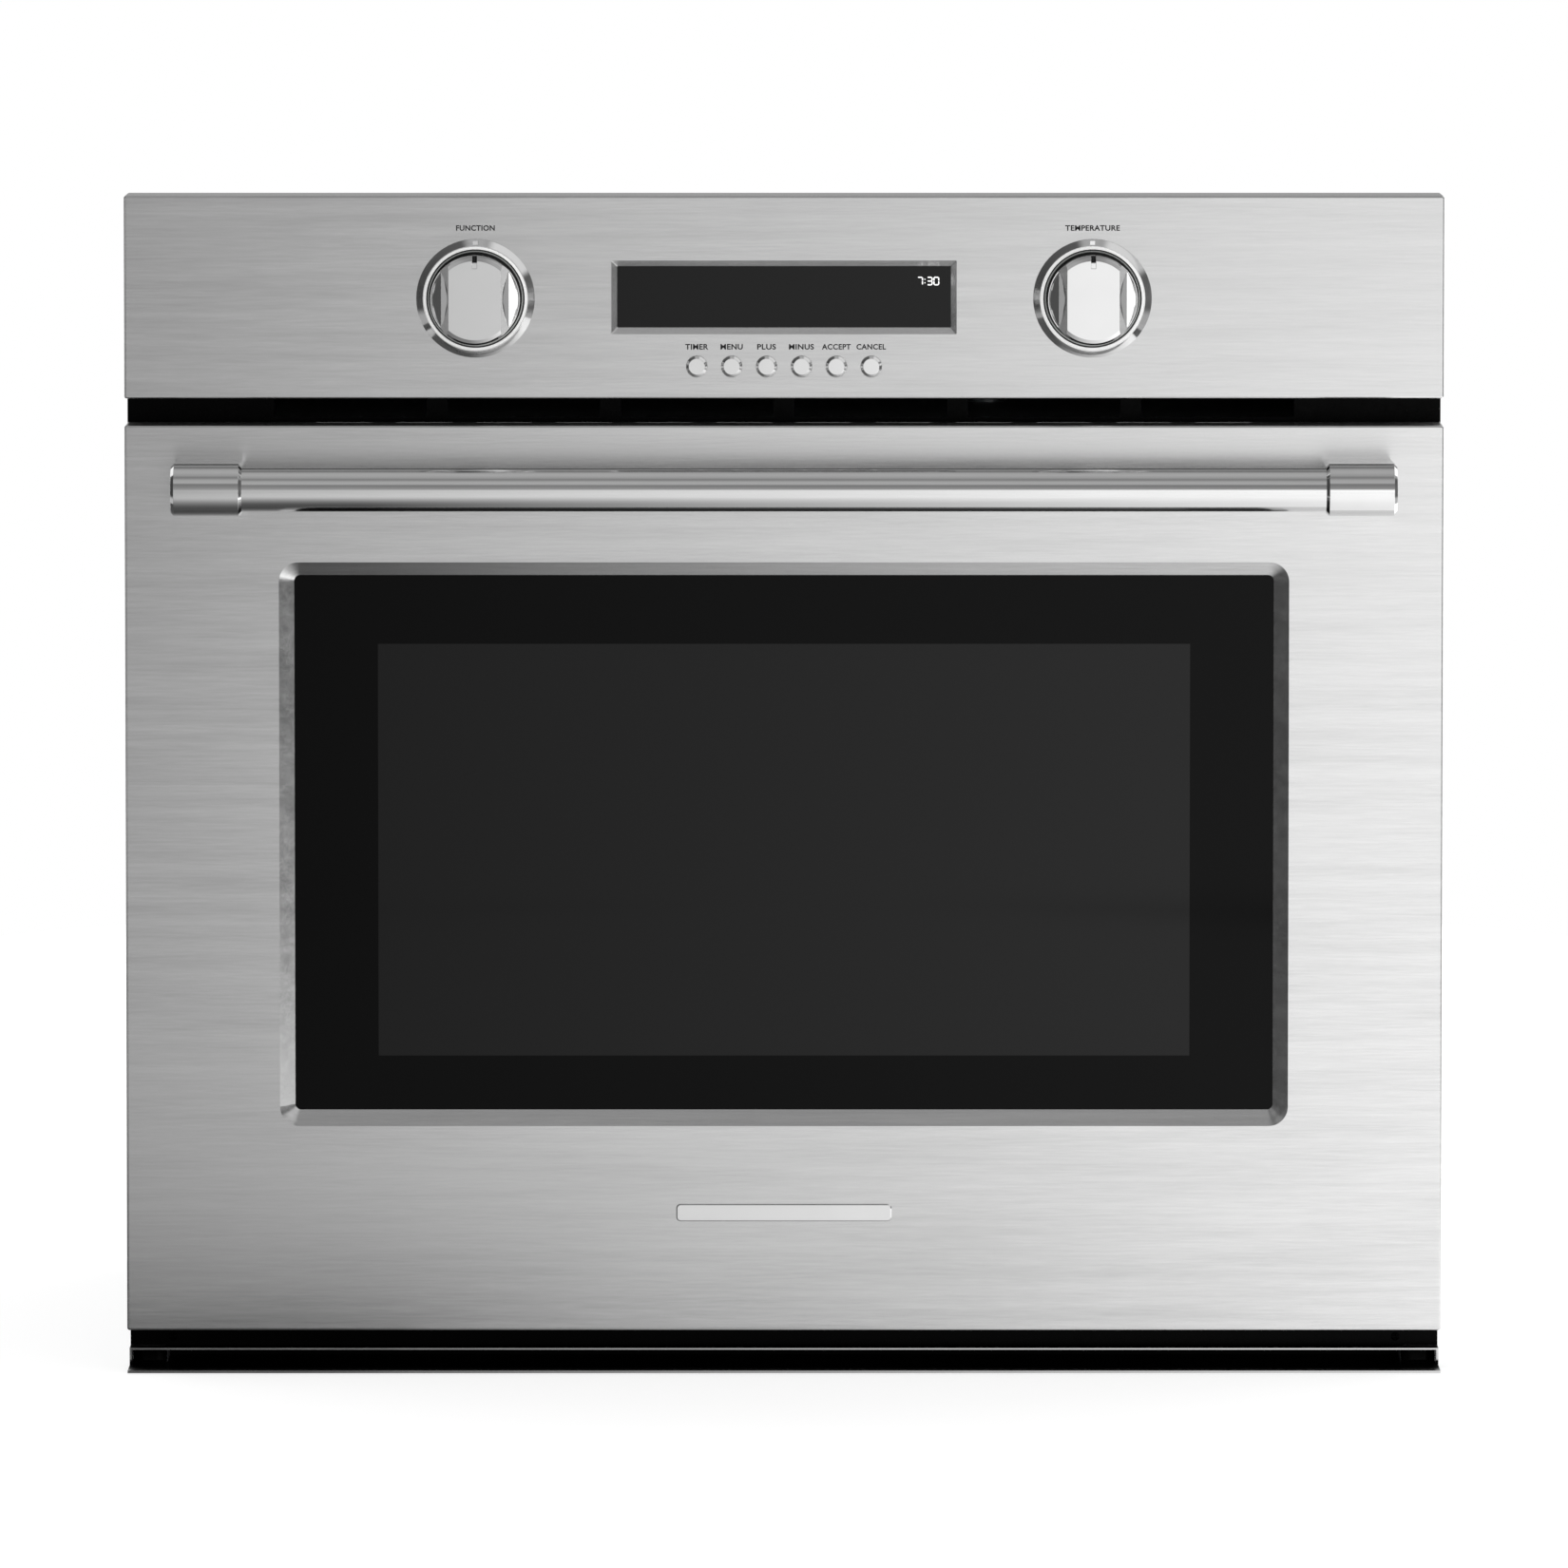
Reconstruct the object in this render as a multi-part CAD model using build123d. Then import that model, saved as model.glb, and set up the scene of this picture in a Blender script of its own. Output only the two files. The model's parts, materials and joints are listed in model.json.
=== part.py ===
from build123d import *
import os

# Built-in single wall oven, 757 mm wide, with a drop-down door.
#
# Millimetres. +X is to the user's right, +Y goes into the cabinet, +Z is up.
# The origin is the middle of the bottom edge in the plane of the cabinet's face: x = 0 is the centre line,
# y = 0 the cabinet face that the side flanges seat on, z = 0 the shelf that the oven stands on.

os.makedirs("parts", exist_ok=True)

# ---- whole oven ----
FRONT_HALF = 378.5  # half the width of the door, the fascia and the front frame
BODY_HALF = 358.5  # half the width of the casing that goes into the cabinet
BODY_BACK = 565.0
BODY_TOP = 654.0
SHEET = 1.2  # thickness of most sheet metal

# ---- planes from front to back ----
FACE_Y = -48.0  # front surface of the door and of the control fascia
DOOR_BACK_Y = -9.0
FRAME_FRONT_Y = -3.0
FLANGE_Y = (-SHEET, 0.0)
TRIM_LIP_FRONT = -45.0  # the lip reaches out under the door, the shelf above it stays behind the door's swing

# ---- heights ----
TRIM_LIP_TOP = 1.5
TRIM_SHELF = (10.5, 11.5)
DOOR_Z = (25.2, 547.3)
FASCIA_Z = (562.7, 679.0)
FRAME_Z = (11.6, 676.0)

# ---- door ----
SKIN_BACK_Y = -11.0
DOOR_VENT_Y = -17.0  # middle of the vent slots in the door's top and bottom edges
WINDOW_OUTER = ((-290.0, 290.0), (143.5, 468.6), 11.2)  # x, z, corner radius
WINDOW_INNER = ((-281.4, 281.4), (152.4, 460.9), 3.4)
WINDOW_DEPTH = 7.0
HINGE_Y, HINGE_Z = -29.0, 34.2
HINGE_X = 300.0
PIN_R = 4.0
EDGE_R = 1.3  # fold radius along the front edges of the door and the fascia

# ---- handle ----
HANDLE_Z = 513.0
HANDLE_Y = -98.0
BAR_R, BAR_WALL = 12.5, 1.5
BRACKET_X, BRACKET_WIDTH, BRACKET_R = 329.4, 40.5, 15.0
BRACKET_CHAMFER = 1.8

# ---- controls ----
KNOB_X, KNOB_Z = 176.8, 620.2
BEZEL_R, BEZEL_TOP_R, BEZEL_HEIGHT = 34.0, 29.7, 4.6
HALO_R, WELL_R = 29.6, 28.3
KNOB_R, KNOB_FACE_R = 25.7, 22.6
KNOB_BASE, KNOB_FRONT, KNOB_SHELF = 3.4, 30.0, 15.5  # distances in front of the fascia
GRIP_FRONT_HALF, GRIP_BASE_HALF = 15.0, 19.8
POINTER_HALF, POINTER_R, NOTCH_R = 1.4, 18.2, 21.4  # pointer groove: half width, inner end, start of the deep notch
SPINDLE_R = 3.0
DISPLAY_OUTER = ((-99.0, 99.0), (599.6, 641.9), 0.8)
DISPLAY_INNER = ((-95.7, 95.7), (603.3, 638.6), 0.6)
DISPLAY_DEPTH = 3.5
BUTTON_NAMES = ("timer", "menu", "plus", "minus", "accept", "cancel")
BUTTON_PITCH, BUTTON_Z, BUTTON_R, BUTTON_PROUD = 20.0, 581.1, 6.1, 2.2
BUTTON_TRAVEL = 1.0

# ---- cavity ----
CAVITY_X, CAVITY_Z, CAVITY_BACK = 300.0, (90.0, 505.0), 460.0
CAVITY_R = 18.0
FAN_Z = 297.5
INSULATION_X, INSULATION_Z, INSULATION_BACK = 342.0, (50.0, 545.0), 498.0
DUCT_Z = (545.8, 562.2)
RAIL_X, RAIL_R, RAIL_ZS = 286.0, 2.5, (120.0, 180.0, 240.0, 300.0, 360.0, 420.0)
RAIL_GAP = 14.0
RACK_X, RACK_BAR_R, RACK_CROSS_R, RACK_WIRE_R = 284.0, 3.0, 2.6, 1.8
RACK_Y = (28.0, 412.0)
RACK_LIFT = 5.5  # height of a rack's side bar above the rail that it slides on
ELEMENT_R = 3.3
LAMP_X, LAMP_Z = 215.0, 435.0
MOUNT_X, MOUNT_ZS, MOUNT_R = 368.5, (90.0, 510.0), 2.5
GLAND_X, GLAND_Z, GLAND_BORE_R = -250.0, 612.0, 9.5


# ---- shared shapes ----
def block(x, y, z):
    """Box between the low and high pairs x, y and z."""
    pairs = (x, y, z)
    size = [high - low for low, high in pairs]
    middle = [(low + high) / 2 for low, high in pairs]
    return Pos(*middle) * Box(*size)


def around(x, half):
    """The pair from half below x to half above it."""
    return (x - half, x + half)


def rod(start, end, radius):
    """Round bar from start to end."""
    start, end = Vector(*start), Vector(*end)
    along = end - start
    bar = Cylinder(radius, along.length, align=(Align.CENTER, Align.CENTER, Align.MIN))
    return Plane(origin=start, z_dir=along) * bar


def front_plane(x, y, z):
    """Plane with its x to the right, its y up and its normal towards the user."""
    return Plane(origin=(x, y, z), x_dir=(1, 0, 0), z_dir=(0, -1, 0))


def outline(x, z, radius, y, grow=0.0):
    """Rounded rectangle over the pairs x and z, in the plane at y, grown all round by grow."""
    width, height = x[1] - x[0] + 2 * grow, z[1] - z[0] + 2 * grow
    shape = RectangleRounded(width, height, radius + grow) if radius + grow > 0 else Rectangle(width, height)
    return front_plane((x[0] + x[1]) / 2, y, (z[0] + z[1]) / 2) * shape


def plate(x, y, z, radius=0.0):
    """Upright plate over the pairs x, y and z, with the corners of its outline rounded."""
    return extrude(outline(x, z, radius, y[1]), y[1] - y[0])


def tube_along(points, radius, bend):
    """Round bar that follows the points, each corner bent to the radius bend."""
    path = FilletPolyline(*points, radius=bend)
    section = Plane(origin=path @ 0, z_dir=path % 0) * Circle(radius)
    return sweep(section, path=path)


def funnel(outer, inner, front, depth, grow=0.0):
    """Solid between the rounded rectangle outer at y = front and inner, depth behind it."""
    wide = outline(*outer, front, grow)
    narrow = outline(*inner, front + depth, grow)
    return loft([wide, narrow], ruled=True)


def slots(count, pitch, length, width):
    """Row of rounded slots along x, each length long and width wide."""
    places = [Pos(pitch * (i - (count - 1) / 2), 0) for i in range(count)]
    return Sketch() + [place * SlotOverall(length, width) for place in places]


def save(name, *shapes):
    """Writes the solids of the shapes as one sub-part."""
    solids = [s for shape in shapes for s in shape.solids()]
    whole = solids[0] if len(solids) == 1 else Compound(children=solids)
    export_step(whole, f"parts/{name}.step")


def mirrored(shape):
    """The shape and its mirror image across the centre line."""
    return shape, mirror(shape, about=Plane.YZ)


# ---- casing ----
def base_pan():
    pan = block(around(0, BODY_HALF - SHEET), (38.2, BODY_BACK), (0, 1.5))
    return pan - Pos(0, 430, -1) * extrude(slots(8, 62, 44, 6), 4)


def side_panel():
    """Side wall with the flange that seats on the cabinet's face, for the right side."""
    thickness = (BODY_HALF - SHEET, BODY_HALF)
    wall = block(thickness, (0, BODY_BACK), (0, BODY_TOP - SHEET))
    fold = block(thickness, FLANGE_Y, (FRAME_Z[0], BODY_TOP - SHEET))
    flange = block((BODY_HALF, FRONT_HALF), FLANGE_Y, FRAME_Z)
    panel = wall + fold + flange
    for z in MOUNT_ZS:
        panel -= rod((MOUNT_X, -5, z), (MOUNT_X, 5, z), MOUNT_R)
    return panel


def top_cover():
    cover = block(around(0, BODY_HALF), (0, BODY_BACK), (BODY_TOP - SHEET, BODY_TOP))
    vents = slots(9, 58, 42, 5)
    for row in range(4):
        cover -= Pos(0, 430 + 18 * row, BODY_TOP - 3) * extrude(vents, 5)
    return cover


def rear_cover():
    cover = block(around(0, BODY_HALF), (BODY_BACK, BODY_BACK + SHEET), (0, BODY_TOP))
    vents = front_plane(60, BODY_BACK + 3, 0) * slots(7, 58, 42, 5)
    for row in range(3):
        cover -= Pos(0, 0, 585 + 18 * row) * extrude(vents, 5)
    pressing = plate(around(0, 200), (BODY_BACK - 1, BODY_BACK + 0.4), (150, 440), 30)
    hole = rod((GLAND_X, BODY_BACK - 2, GLAND_Z), (GLAND_X, BODY_BACK + 4, GLAND_Z), 11.2)
    return cover - (pressing - plate(around(0, 188), (BODY_BACK - 2, BODY_BACK + 2), (162, 428), 22)) - hole


def conduit_gland():
    """Cable gland in the rear cover: hexagonal collar, locknut inside, through bore."""
    front, back = BODY_BACK - 9, BODY_BACK + 17
    flat = Plane(origin=(GLAND_X, BODY_BACK + SHEET, GLAND_Z), z_dir=(0, 1, 0))
    body = rod((GLAND_X, front, GLAND_Z), (GLAND_X, back, GLAND_Z), 11.1)
    collar = extrude(flat * RegularPolygon(15, 6), 6)
    locknut = extrude(Plane(origin=(GLAND_X, BODY_BACK - 4, GLAND_Z), z_dir=(0, 1, 0)) * RegularPolygon(15, 6), 4)
    bore = rod((GLAND_X, front - 1, GLAND_Z), (GLAND_X, back + 1, GLAND_Z), GLAND_BORE_R)
    return body + collar + locknut - bore


def front_frame():
    """Black enamelled plate round the cavity mouth, behind the door and the fascia."""
    depth = (FRAME_FRONT_Y, -SHEET)
    through = (FRAME_FRONT_Y - 2, 2)
    frame = plate(around(0, FRONT_HALF), depth, FRAME_Z)
    frame -= plate(around(0, CAVITY_X), through, CAVITY_Z, CAVITY_R)
    for i in range(6):
        frame -= block(around(100 * (i - 2.5), 44), through, (549.6, 560.2))
    for side in (-1, 1):
        frame -= block(around(side * HINGE_X, 7), through, (25, 46))
        frame -= rod((side * KNOB_X, -6, 600), (side * KNOB_X, 2, 600), 14)
        for z in MOUNT_ZS:
            frame -= rod((side * MOUNT_X, -6, z), (side * MOUNT_X, 2, z), 5.0)
    frame -= plate((-5, 11.5), through, (527.5, 540.5), 1.5)
    return frame


def lower_trim():
    """Air intake channel below the door: long bottom lip, shelf, back web and end plates."""
    front, back = -18.0, 38.0
    lip = block(around(0, FRONT_HALF), (TRIM_LIP_FRONT, 0), (0, TRIM_LIP_TOP))
    shelf = block(around(0, FRONT_HALF), (front, 0), TRIM_SHELF)
    inner = BODY_HALF - SHEET
    lip += block(around(0, inner), (0, back), (0, TRIM_LIP_TOP))
    shelf += block(around(0, inner), (0, back), TRIM_SHELF)
    web = block(around(0, inner), (back - SHEET, back), (TRIM_LIP_TOP, TRIM_SHELF[0]))
    trim = lip + shelf + web
    for side in (-1, 1):
        ends = sorted((side * (FRONT_HALF - SHEET), side * FRONT_HALF))
        trim += block(ends, (front + 1, 0), (TRIM_LIP_TOP, TRIM_SHELF[0]))
    return trim


# ---- cavity ----
def cavity_liner():
    """Enamelled wrap with its front flange and, as its own pressing, the back wall."""
    low, high = CAVITY_Z
    outer_z = (low - SHEET, high + SHEET)
    wrap = plate(around(0, CAVITY_X + SHEET), (-SHEET, CAVITY_BACK), outer_z, CAVITY_R + SHEET)
    wrap += plate(around(0, CAVITY_X + 22), FLANGE_Y, (low - 20, high + 19), CAVITY_R)
    wrap -= plate(around(0, CAVITY_X), (-5, CAVITY_BACK + 1), CAVITY_Z, CAVITY_R)
    wrap -= rod((120, 230, high - 2), (120, 230, high + 4), 10.5)
    through = (CAVITY_BACK - 2, CAVITY_BACK + 4)
    back = plate(around(0, CAVITY_X + SHEET), (CAVITY_BACK, CAVITY_BACK + SHEET), outer_z, CAVITY_R + SHEET)
    holes = [(0, FAN_Z, 7), (-120, 455, 3.2), (-12, FAN_Z - 95, 4.5), (12, FAN_Z - 95, 4.5)]
    holes += [(side * 30, 485, 4.5) for side in (-1, 1)]
    holes += [(side * LAMP_X, LAMP_Z, 24.6) for side in (-1, 1)]
    for x, z, radius in holes:
        back -= rod((x, through[0], z), (x, through[1], z), radius)
    return wrap, back


def insulation_blanket():
    """Mineral wool round the liner, with pockets for the elements, lamps, motor shaft and door lock."""
    low, high = CAVITY_Z
    blanket = block(around(0, INSULATION_X), (0.3, INSULATION_BACK), INSULATION_Z)
    gap = SHEET + 0.3
    blanket -= plate(around(0, CAVITY_X + gap), (-2, CAVITY_BACK + gap), (low - gap, high + gap), CAVITY_R + gap)
    blanket -= block(around(0, 250), (40, INSULATION_BACK + 2), (76, low))
    blanket -= block((-25, 85), (-2, 72), (523, 548))
    for side in (-1, 1):
        blanket -= rod((side * LAMP_X, 450, LAMP_Z), (side * LAMP_X, 510, LAMP_Z), 32)
    shafts = [(0, FAN_Z, 14), (-120, 455, 6), (-12, FAN_Z - 95, 6), (12, FAN_Z - 95, 6), (-30, 485, 6), (30, 485, 6)]
    for x, z, radius in shafts:
        blanket -= rod((x, 440, z), (x, 510, z), radius)
    return blanket - rod((120, 230, 480), (120, 230, 560), 13)


def door_gasket():
    """Bulb seal round the cavity mouth, rounded on the side that meets the door."""
    depth = (DOOR_BACK_Y + 0.4, FRAME_FRONT_Y)
    outer = plate(around(0, 317), depth, (73, 522), 28)
    front_edges = outer.edges().filter_by(lambda e: abs(e.center().Y - depth[0]) < 0.01)
    outer = fillet(front_edges, 2.4)
    inner = plate(around(0, 310), (depth[0] - 1, depth[1] + 1), (80, 515), 21)
    return outer - inner


def broil_element():
    z, back = 485.0, 482.0
    half = [(-30, back), (-30, 110), (-100, 110), (-100, 425), (-170, 425), (-170, 110), (-240, 110), (-240, 58)]
    route = half + [(-x, y) for x, y in reversed(half)]
    return tube_along([(x, y, z) for x, y in route], ELEMENT_R, 22)


def bake_element():
    z = 82.3
    half = [(-30, 492), (-30, 410), (-225, 410), (-225, 80), (-90, 80), (-90, 330)]
    route = half + [(-x, y) for x, y in reversed(half)]
    return tube_along([(x, y, z) for x, y in route], ELEMENT_R, 26)


def ring_element():
    y, radius = 446.0, 95.0
    ring = Plane(origin=(0, y, FAN_Z), z_dir=(0, 1, 0)) * Torus(radius, ELEMENT_R)
    for side in (-1, 1):
        x = side * 12
        ring += rod((x, y, FAN_Z - radius), (x, 482, FAN_Z - radius), ELEMENT_R)
    return ring


def fan_baffle():
    """Perforated cover over the convection fan, open at both sides for the hot air."""
    front, back = 424.0, CAVITY_BACK - 0.2
    half, z = 150.0, (165.0, 430.0)
    shell = plate(around(0, half), (front, back), z, 16)
    shell -= block(around(0, half - SHEET), (front + SHEET, back + 1), (z[0] + SHEET, z[1] - SHEET))
    for side in (-1, 1):
        for i in range(5):
            window = around(z[0] + 40 + 46 * i, 18)
            shell -= block(around(side * half, 6), (front + 9, back - 9), window)
    holes = Sketch() + Circle(4.4)
    for ring in range(1, 6):
        holes += PolarLocations(13 * ring, 6 * ring) * Circle(4.4)
    return shell - extrude(front_plane(0, front + 4, FAN_Z) * holes, 6)


def convection_fan():
    """Sheet impeller on its hub, and the motor shaft that carries it."""
    hub = rod((0, 433, FAN_Z), (0, 456, FAN_Z), 10)
    wheel = hub + rod((0, 454, FAN_Z), (0, 455.4, FAN_Z), 72)
    blade = block((33, 71), (435, 454.5), around(0, 0.7))
    for i in range(14):
        wheel += Pos(0, 0, FAN_Z) * Rot(0, 360 / 14 * i, 0) * blade
    shaft_r = 4.0
    wheel -= rod((0, 430, FAN_Z), (0, 460, FAN_Z), shaft_r)
    return wheel, rod((0, 430, FAN_Z), (0, 519, FAN_Z), shaft_r)


def fan_motor():
    body = rod((0, 503, FAN_Z), (0, 555, FAN_Z), 42) + rod((0, 520, FAN_Z), (0, 540, FAN_Z), 48)
    foot = plate(around(0, 62), (499, 503), around(FAN_Z, 62), 12)
    return body + foot - rod((0, 490, FAN_Z), (0, 520, FAN_Z), 4.08)


def rack_guide():
    """Wire ladder on the right side wall: two posts and a pair of rails for each level."""
    post_x, post_r = RAIL_X + 4.2, 2.8
    ladder = None
    for y in (70.0, 385.0):
        post = rod((post_x, y, RAIL_ZS[0] - 18), (post_x, y, RAIL_ZS[-1] + 34), post_r)
        foot = rod((post_x, y, RAIL_ZS[0] - 8), (CAVITY_X, y, RAIL_ZS[0] - 8), post_r)
        head = rod((post_x, y, RAIL_ZS[-1] + 26), (CAVITY_X, y, RAIL_ZS[-1] + 26), post_r)
        ladder = post + foot + head if ladder is None else ladder + post + foot + head
    for z in RAIL_ZS:
        for height in (z, z + RAIL_GAP):
            ladder += rod((RAIL_X, 30, height), (RAIL_X, 418, height), RAIL_R)
    return ladder


def oven_rack(rail_z):
    """Wire shelf: a bent frame, two cross bars and the front-to-back wires."""
    z = rail_z + RACK_LIFT
    near, far = RACK_Y
    corners = [(RACK_X, far), (RACK_X, near), (-RACK_X, near), (-RACK_X, far)]
    rack = tube_along([(x, y, z) for x, y in corners], RACK_BAR_R, 14)
    reach = RACK_X - 1
    for y in (near + 130, near + 260, far - 4):
        rack += rod((-reach, y, z), (reach, y, z), RACK_CROSS_R)
    wire_z = z + RACK_CROSS_R + RACK_WIRE_R - 0.6
    count, pitch = 23, 24.0
    for i in range(count):
        x = pitch * (i - (count - 1) / 2)
        rack += rod((x, near, wire_z), (x, far - 4, wire_z), RACK_WIRE_R)
    return rack


def lamp_lens():
    lens = rod((LAMP_X, 455, LAMP_Z), (LAMP_X, CAVITY_BACK, LAMP_Z), 29)
    lens += rod((LAMP_X, 449, LAMP_Z), (LAMP_X, 456, LAMP_Z), 23)
    nose = lens.edges().filter_by(lambda e: e.center().Y < 449.5)
    return fillet(nose, 4) - rod((LAMP_X, 453, LAMP_Z), (LAMP_X, 462, LAMP_Z), 20)


def lamp_housing():
    """Lamp can behind the back wall, with its halogen capsule."""
    back = CAVITY_BACK + SHEET
    can = rod((LAMP_X, back, LAMP_Z), (LAMP_X, back + 30, LAMP_Z), 27)
    can -= rod((LAMP_X, back - 1, LAMP_Z), (LAMP_X, back + 28, LAMP_Z), 25.4)
    capsule = rod((LAMP_X, 464, LAMP_Z), (LAMP_X, back + 28, LAMP_Z), 6)
    return can, capsule


def temperature_probe():
    return rod((-120, 395, 455), (-120, 480, 455), 2.5) + rod((-120, 456, 455), (-120, CAVITY_BACK, 455), 9)


def cavity_vent():
    pipe = rod((120, 230, CAVITY_Z[1] + SHEET), (120, 230, DUCT_Z[0] + 6), 11.5)
    return pipe - rod((120, 230, CAVITY_Z[1]), (120, 230, DUCT_Z[0] + 8), 10.3)


# ---- cooling ----
def air_channel():
    """Flat duct over the insulation that blows cooling air out below the fascia."""
    duct = block(around(0, 311.2), (-SHEET, 441), DUCT_Z)
    duct -= block(around(0, 310), (-2, 442), (DUCT_Z[0] + SHEET, DUCT_Z[1] - SHEET))
    return duct - rod((120, 230, DUCT_Z[0] - 1), (120, 230, DUCT_Z[0] + 3), 11.8)


BLOWER_Y, BLOWER_Z, BLOWER_R = 495.0, 602.0, 32.0


def blower_housing():
    """Folded box round the cross-flow wheel, open below at the front and slotted above."""
    shell = block(around(0, 136), (441, 549), (DUCT_Z[0], 652))
    shell -= block(around(0, 136 - SHEET), (441 + SHEET, 549 - SHEET), (DUCT_Z[0] + SHEET, 652 - SHEET))
    shell -= block(around(0, 130), (439, 445), (DUCT_Z[0] + SHEET, DUCT_Z[1] - SHEET))
    vents = slots(6, 40, 30, 5)
    for row in range(4):
        shell -= Pos(0, 470 + 16 * row, 648) * extrude(vents, 6)
    shell -= rod((130, BLOWER_Y, BLOWER_Z), (140, BLOWER_Y, BLOWER_Z), 5)
    return shell - rod((-140, BLOWER_Y, BLOWER_Z), (-130, BLOWER_Y, BLOWER_Z), SPINDLE_R + 0.08)


def blower_wheel():
    """Cross-flow wheel with its shaft."""
    axle = rod((-141, BLOWER_Y, BLOWER_Z), (160, BLOWER_Y, BLOWER_Z), SPINDLE_R)
    wheel = None
    for x in (-124, -42, 40, 122):
        disc = rod((x, BLOWER_Y, BLOWER_Z), (x + 2, BLOWER_Y, BLOWER_Z), BLOWER_R)
        wheel = disc if wheel is None else wheel + disc
    blade = block(around(0, 124), around(0, 0.5), (BLOWER_R - 9, BLOWER_R - 0.5))
    for i in range(20):
        wheel += Pos(0, BLOWER_Y, BLOWER_Z) * Rot(18 * i, 0, 0) * blade
    return wheel - rod((-130, BLOWER_Y, BLOWER_Z), (130, BLOWER_Y, BLOWER_Z), SPINDLE_R), axle


def blower_motor():
    motor = rod((138, BLOWER_Y, BLOWER_Z), (182, BLOWER_Y, BLOWER_Z), 30)
    motor += block((140, 178), around(BLOWER_Y, 12), (DUCT_Z[1], BLOWER_Z))
    motor += block((138, 184), around(BLOWER_Y, 34), (DUCT_Z[1] - 14.4, DUCT_Z[1] + 2))
    return motor - rod((130, BLOWER_Y, BLOWER_Z), (162, BLOWER_Y, BLOWER_Z), 3.08)


def power_board():
    """Relay board on four posts above the duct, with its relays, transformer and capacitors."""
    x, y, z = (-290.0, -110.0), (110.0, 290.0), DUCT_Z[1] + 12
    pieces = [block(x, y, (z, z + 1.6))]
    for px in (x[0] + 8, x[1] - 8):
        for py in (y[0] + 8, y[1] - 8):
            pieces.append(rod((px, py, DUCT_Z[1]), (px, py, z), 3))
    top = z + 1.6
    for i in range(6):
        pieces.append(block(around(x[0] + 22 + 27 * i, 9), around(y[0] + 24, 12), (top, top + 16)))
    pieces.append(block(around(x[0] + 40, 24), around(y[0] + 110, 20), (top, top + 32)))
    for i in range(3):
        centre = (x[0] + 95 + 26 * i, y[0] + 120)
        pieces.append(rod((*centre, top), (*centre, top + 26), 9))
    pieces.append(block(around(x[0] + 120, 40), around(y[1] - 18, 7), (top, top + 14)))
    return pieces


# ---- door ----
def hinge_notch(x):
    """Space that the hinge arm sweeps through the back and the bottom of the door."""
    return block(around(x, 8), (-40, 0), (DOOR_Z[0] - 2, 46))


def door_skin():
    """Brushed steel skin folded back round the door, with the bevelled window recess."""
    x, y, z = around(0, FRONT_HALF), (FACE_Y, SKIN_BACK_Y), DOOR_Z
    skin = plate(x, y, z, 1.5)
    front_edges = skin.edges().filter_by(lambda e: abs(e.center().Y - FACE_Y) < 0.01)
    skin = fillet(front_edges, EDGE_R)
    hollow_z = (z[0] + SHEET, z[1] - SHEET)
    skin -= block(around(0, FRONT_HALF - SHEET), (FACE_Y + SHEET, 0), hollow_z)
    skin += funnel(WINDOW_OUTER, WINDOW_INNER, FACE_Y + 0.6, WINDOW_DEPTH - 0.6, 1.5)
    skin -= funnel(WINDOW_OUTER, WINDOW_INNER, FACE_Y, WINDOW_DEPTH)
    skin -= plate(WINDOW_INNER[0], (FACE_Y + WINDOW_DEPTH - 0.1, -38), WINDOW_INNER[1], WINDOW_INNER[2])
    vents = slots(12, 46, 34, 5)
    for height in (z[0] - 2, z[1] - 3):
        skin -= Pos(0, DOOR_VENT_Y, height) * extrude(vents, 5)
    for side in (-1, 1):
        skin -= hinge_notch(side * HINGE_X)
        for dz in (-7.5, 7.5):
            hole_x = side * BRACKET_X
            skin -= rod((hole_x, -50, HANDLE_Z + dz), (hole_x, -44, HANDLE_Z + dz), 2.8)
    return skin


def outer_glass():
    front = FACE_Y + WINDOW_DEPTH + 0.4
    return plate(around(0, 287), (front, front + 4), (137, 477), 6)


def middle_glasses():
    return [plate(around(0, 272), (front, front + 3), (146, 468), 3) for front in (-32.0, -23.0)]


def inner_glass():
    front = DOOR_BACK_Y - SHEET - 4.4
    return plate(around(0, 272), (front, front + 4.2), (136, 478), 6)


def door_liner():
    """Enamelled inner pan of the door, with the inner window and the slot that the latch hooks."""
    plate_y = (DOOR_BACK_Y - SHEET, DOOR_BACK_Y)
    half = FRONT_HALF - SHEET - 0.6
    z = (DOOR_Z[0] + SHEET + 0.6, DOOR_Z[1] - SHEET - 0.6)
    pan = plate(around(0, half), (-22, DOOR_BACK_Y), z, 3)
    pan -= plate(around(0, half - SHEET), (-30, plate_y[0]), (z[0] + SHEET, z[1] - SHEET), 2)
    pan -= plate(around(0, 258), (-14, 0), (148, 466), 12)
    pan -= plate((1.8, 23.5), (-14, 0), (528, 540), 1.5)
    vents = slots(12, 46, 34, 5)
    for height in (z[0] - 2, z[1] - 3):
        pan -= Pos(0, DOOR_VENT_Y, height) * extrude(vents, 5)
    for side in (-1, 1):
        pan -= hinge_notch(side * HINGE_X)
    return pan


def glass_rails():
    """Channels above and below the panes that hold them apart."""
    rails = []
    back = DOOR_BACK_Y - SHEET - 4.6
    for z, pane in (((132, 145.8), 146), ((468.2, 482), 468)):
        rail = block(around(0, 276), (-36.4, back), z)
        for front in (-32.0, -23.0):
            groove = (pane - 4, pane + 4)
            rail -= block(around(0, 274), (front - 0.2, front + 3.2), groove)
        rails.append(rail)
    return rails


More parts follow.
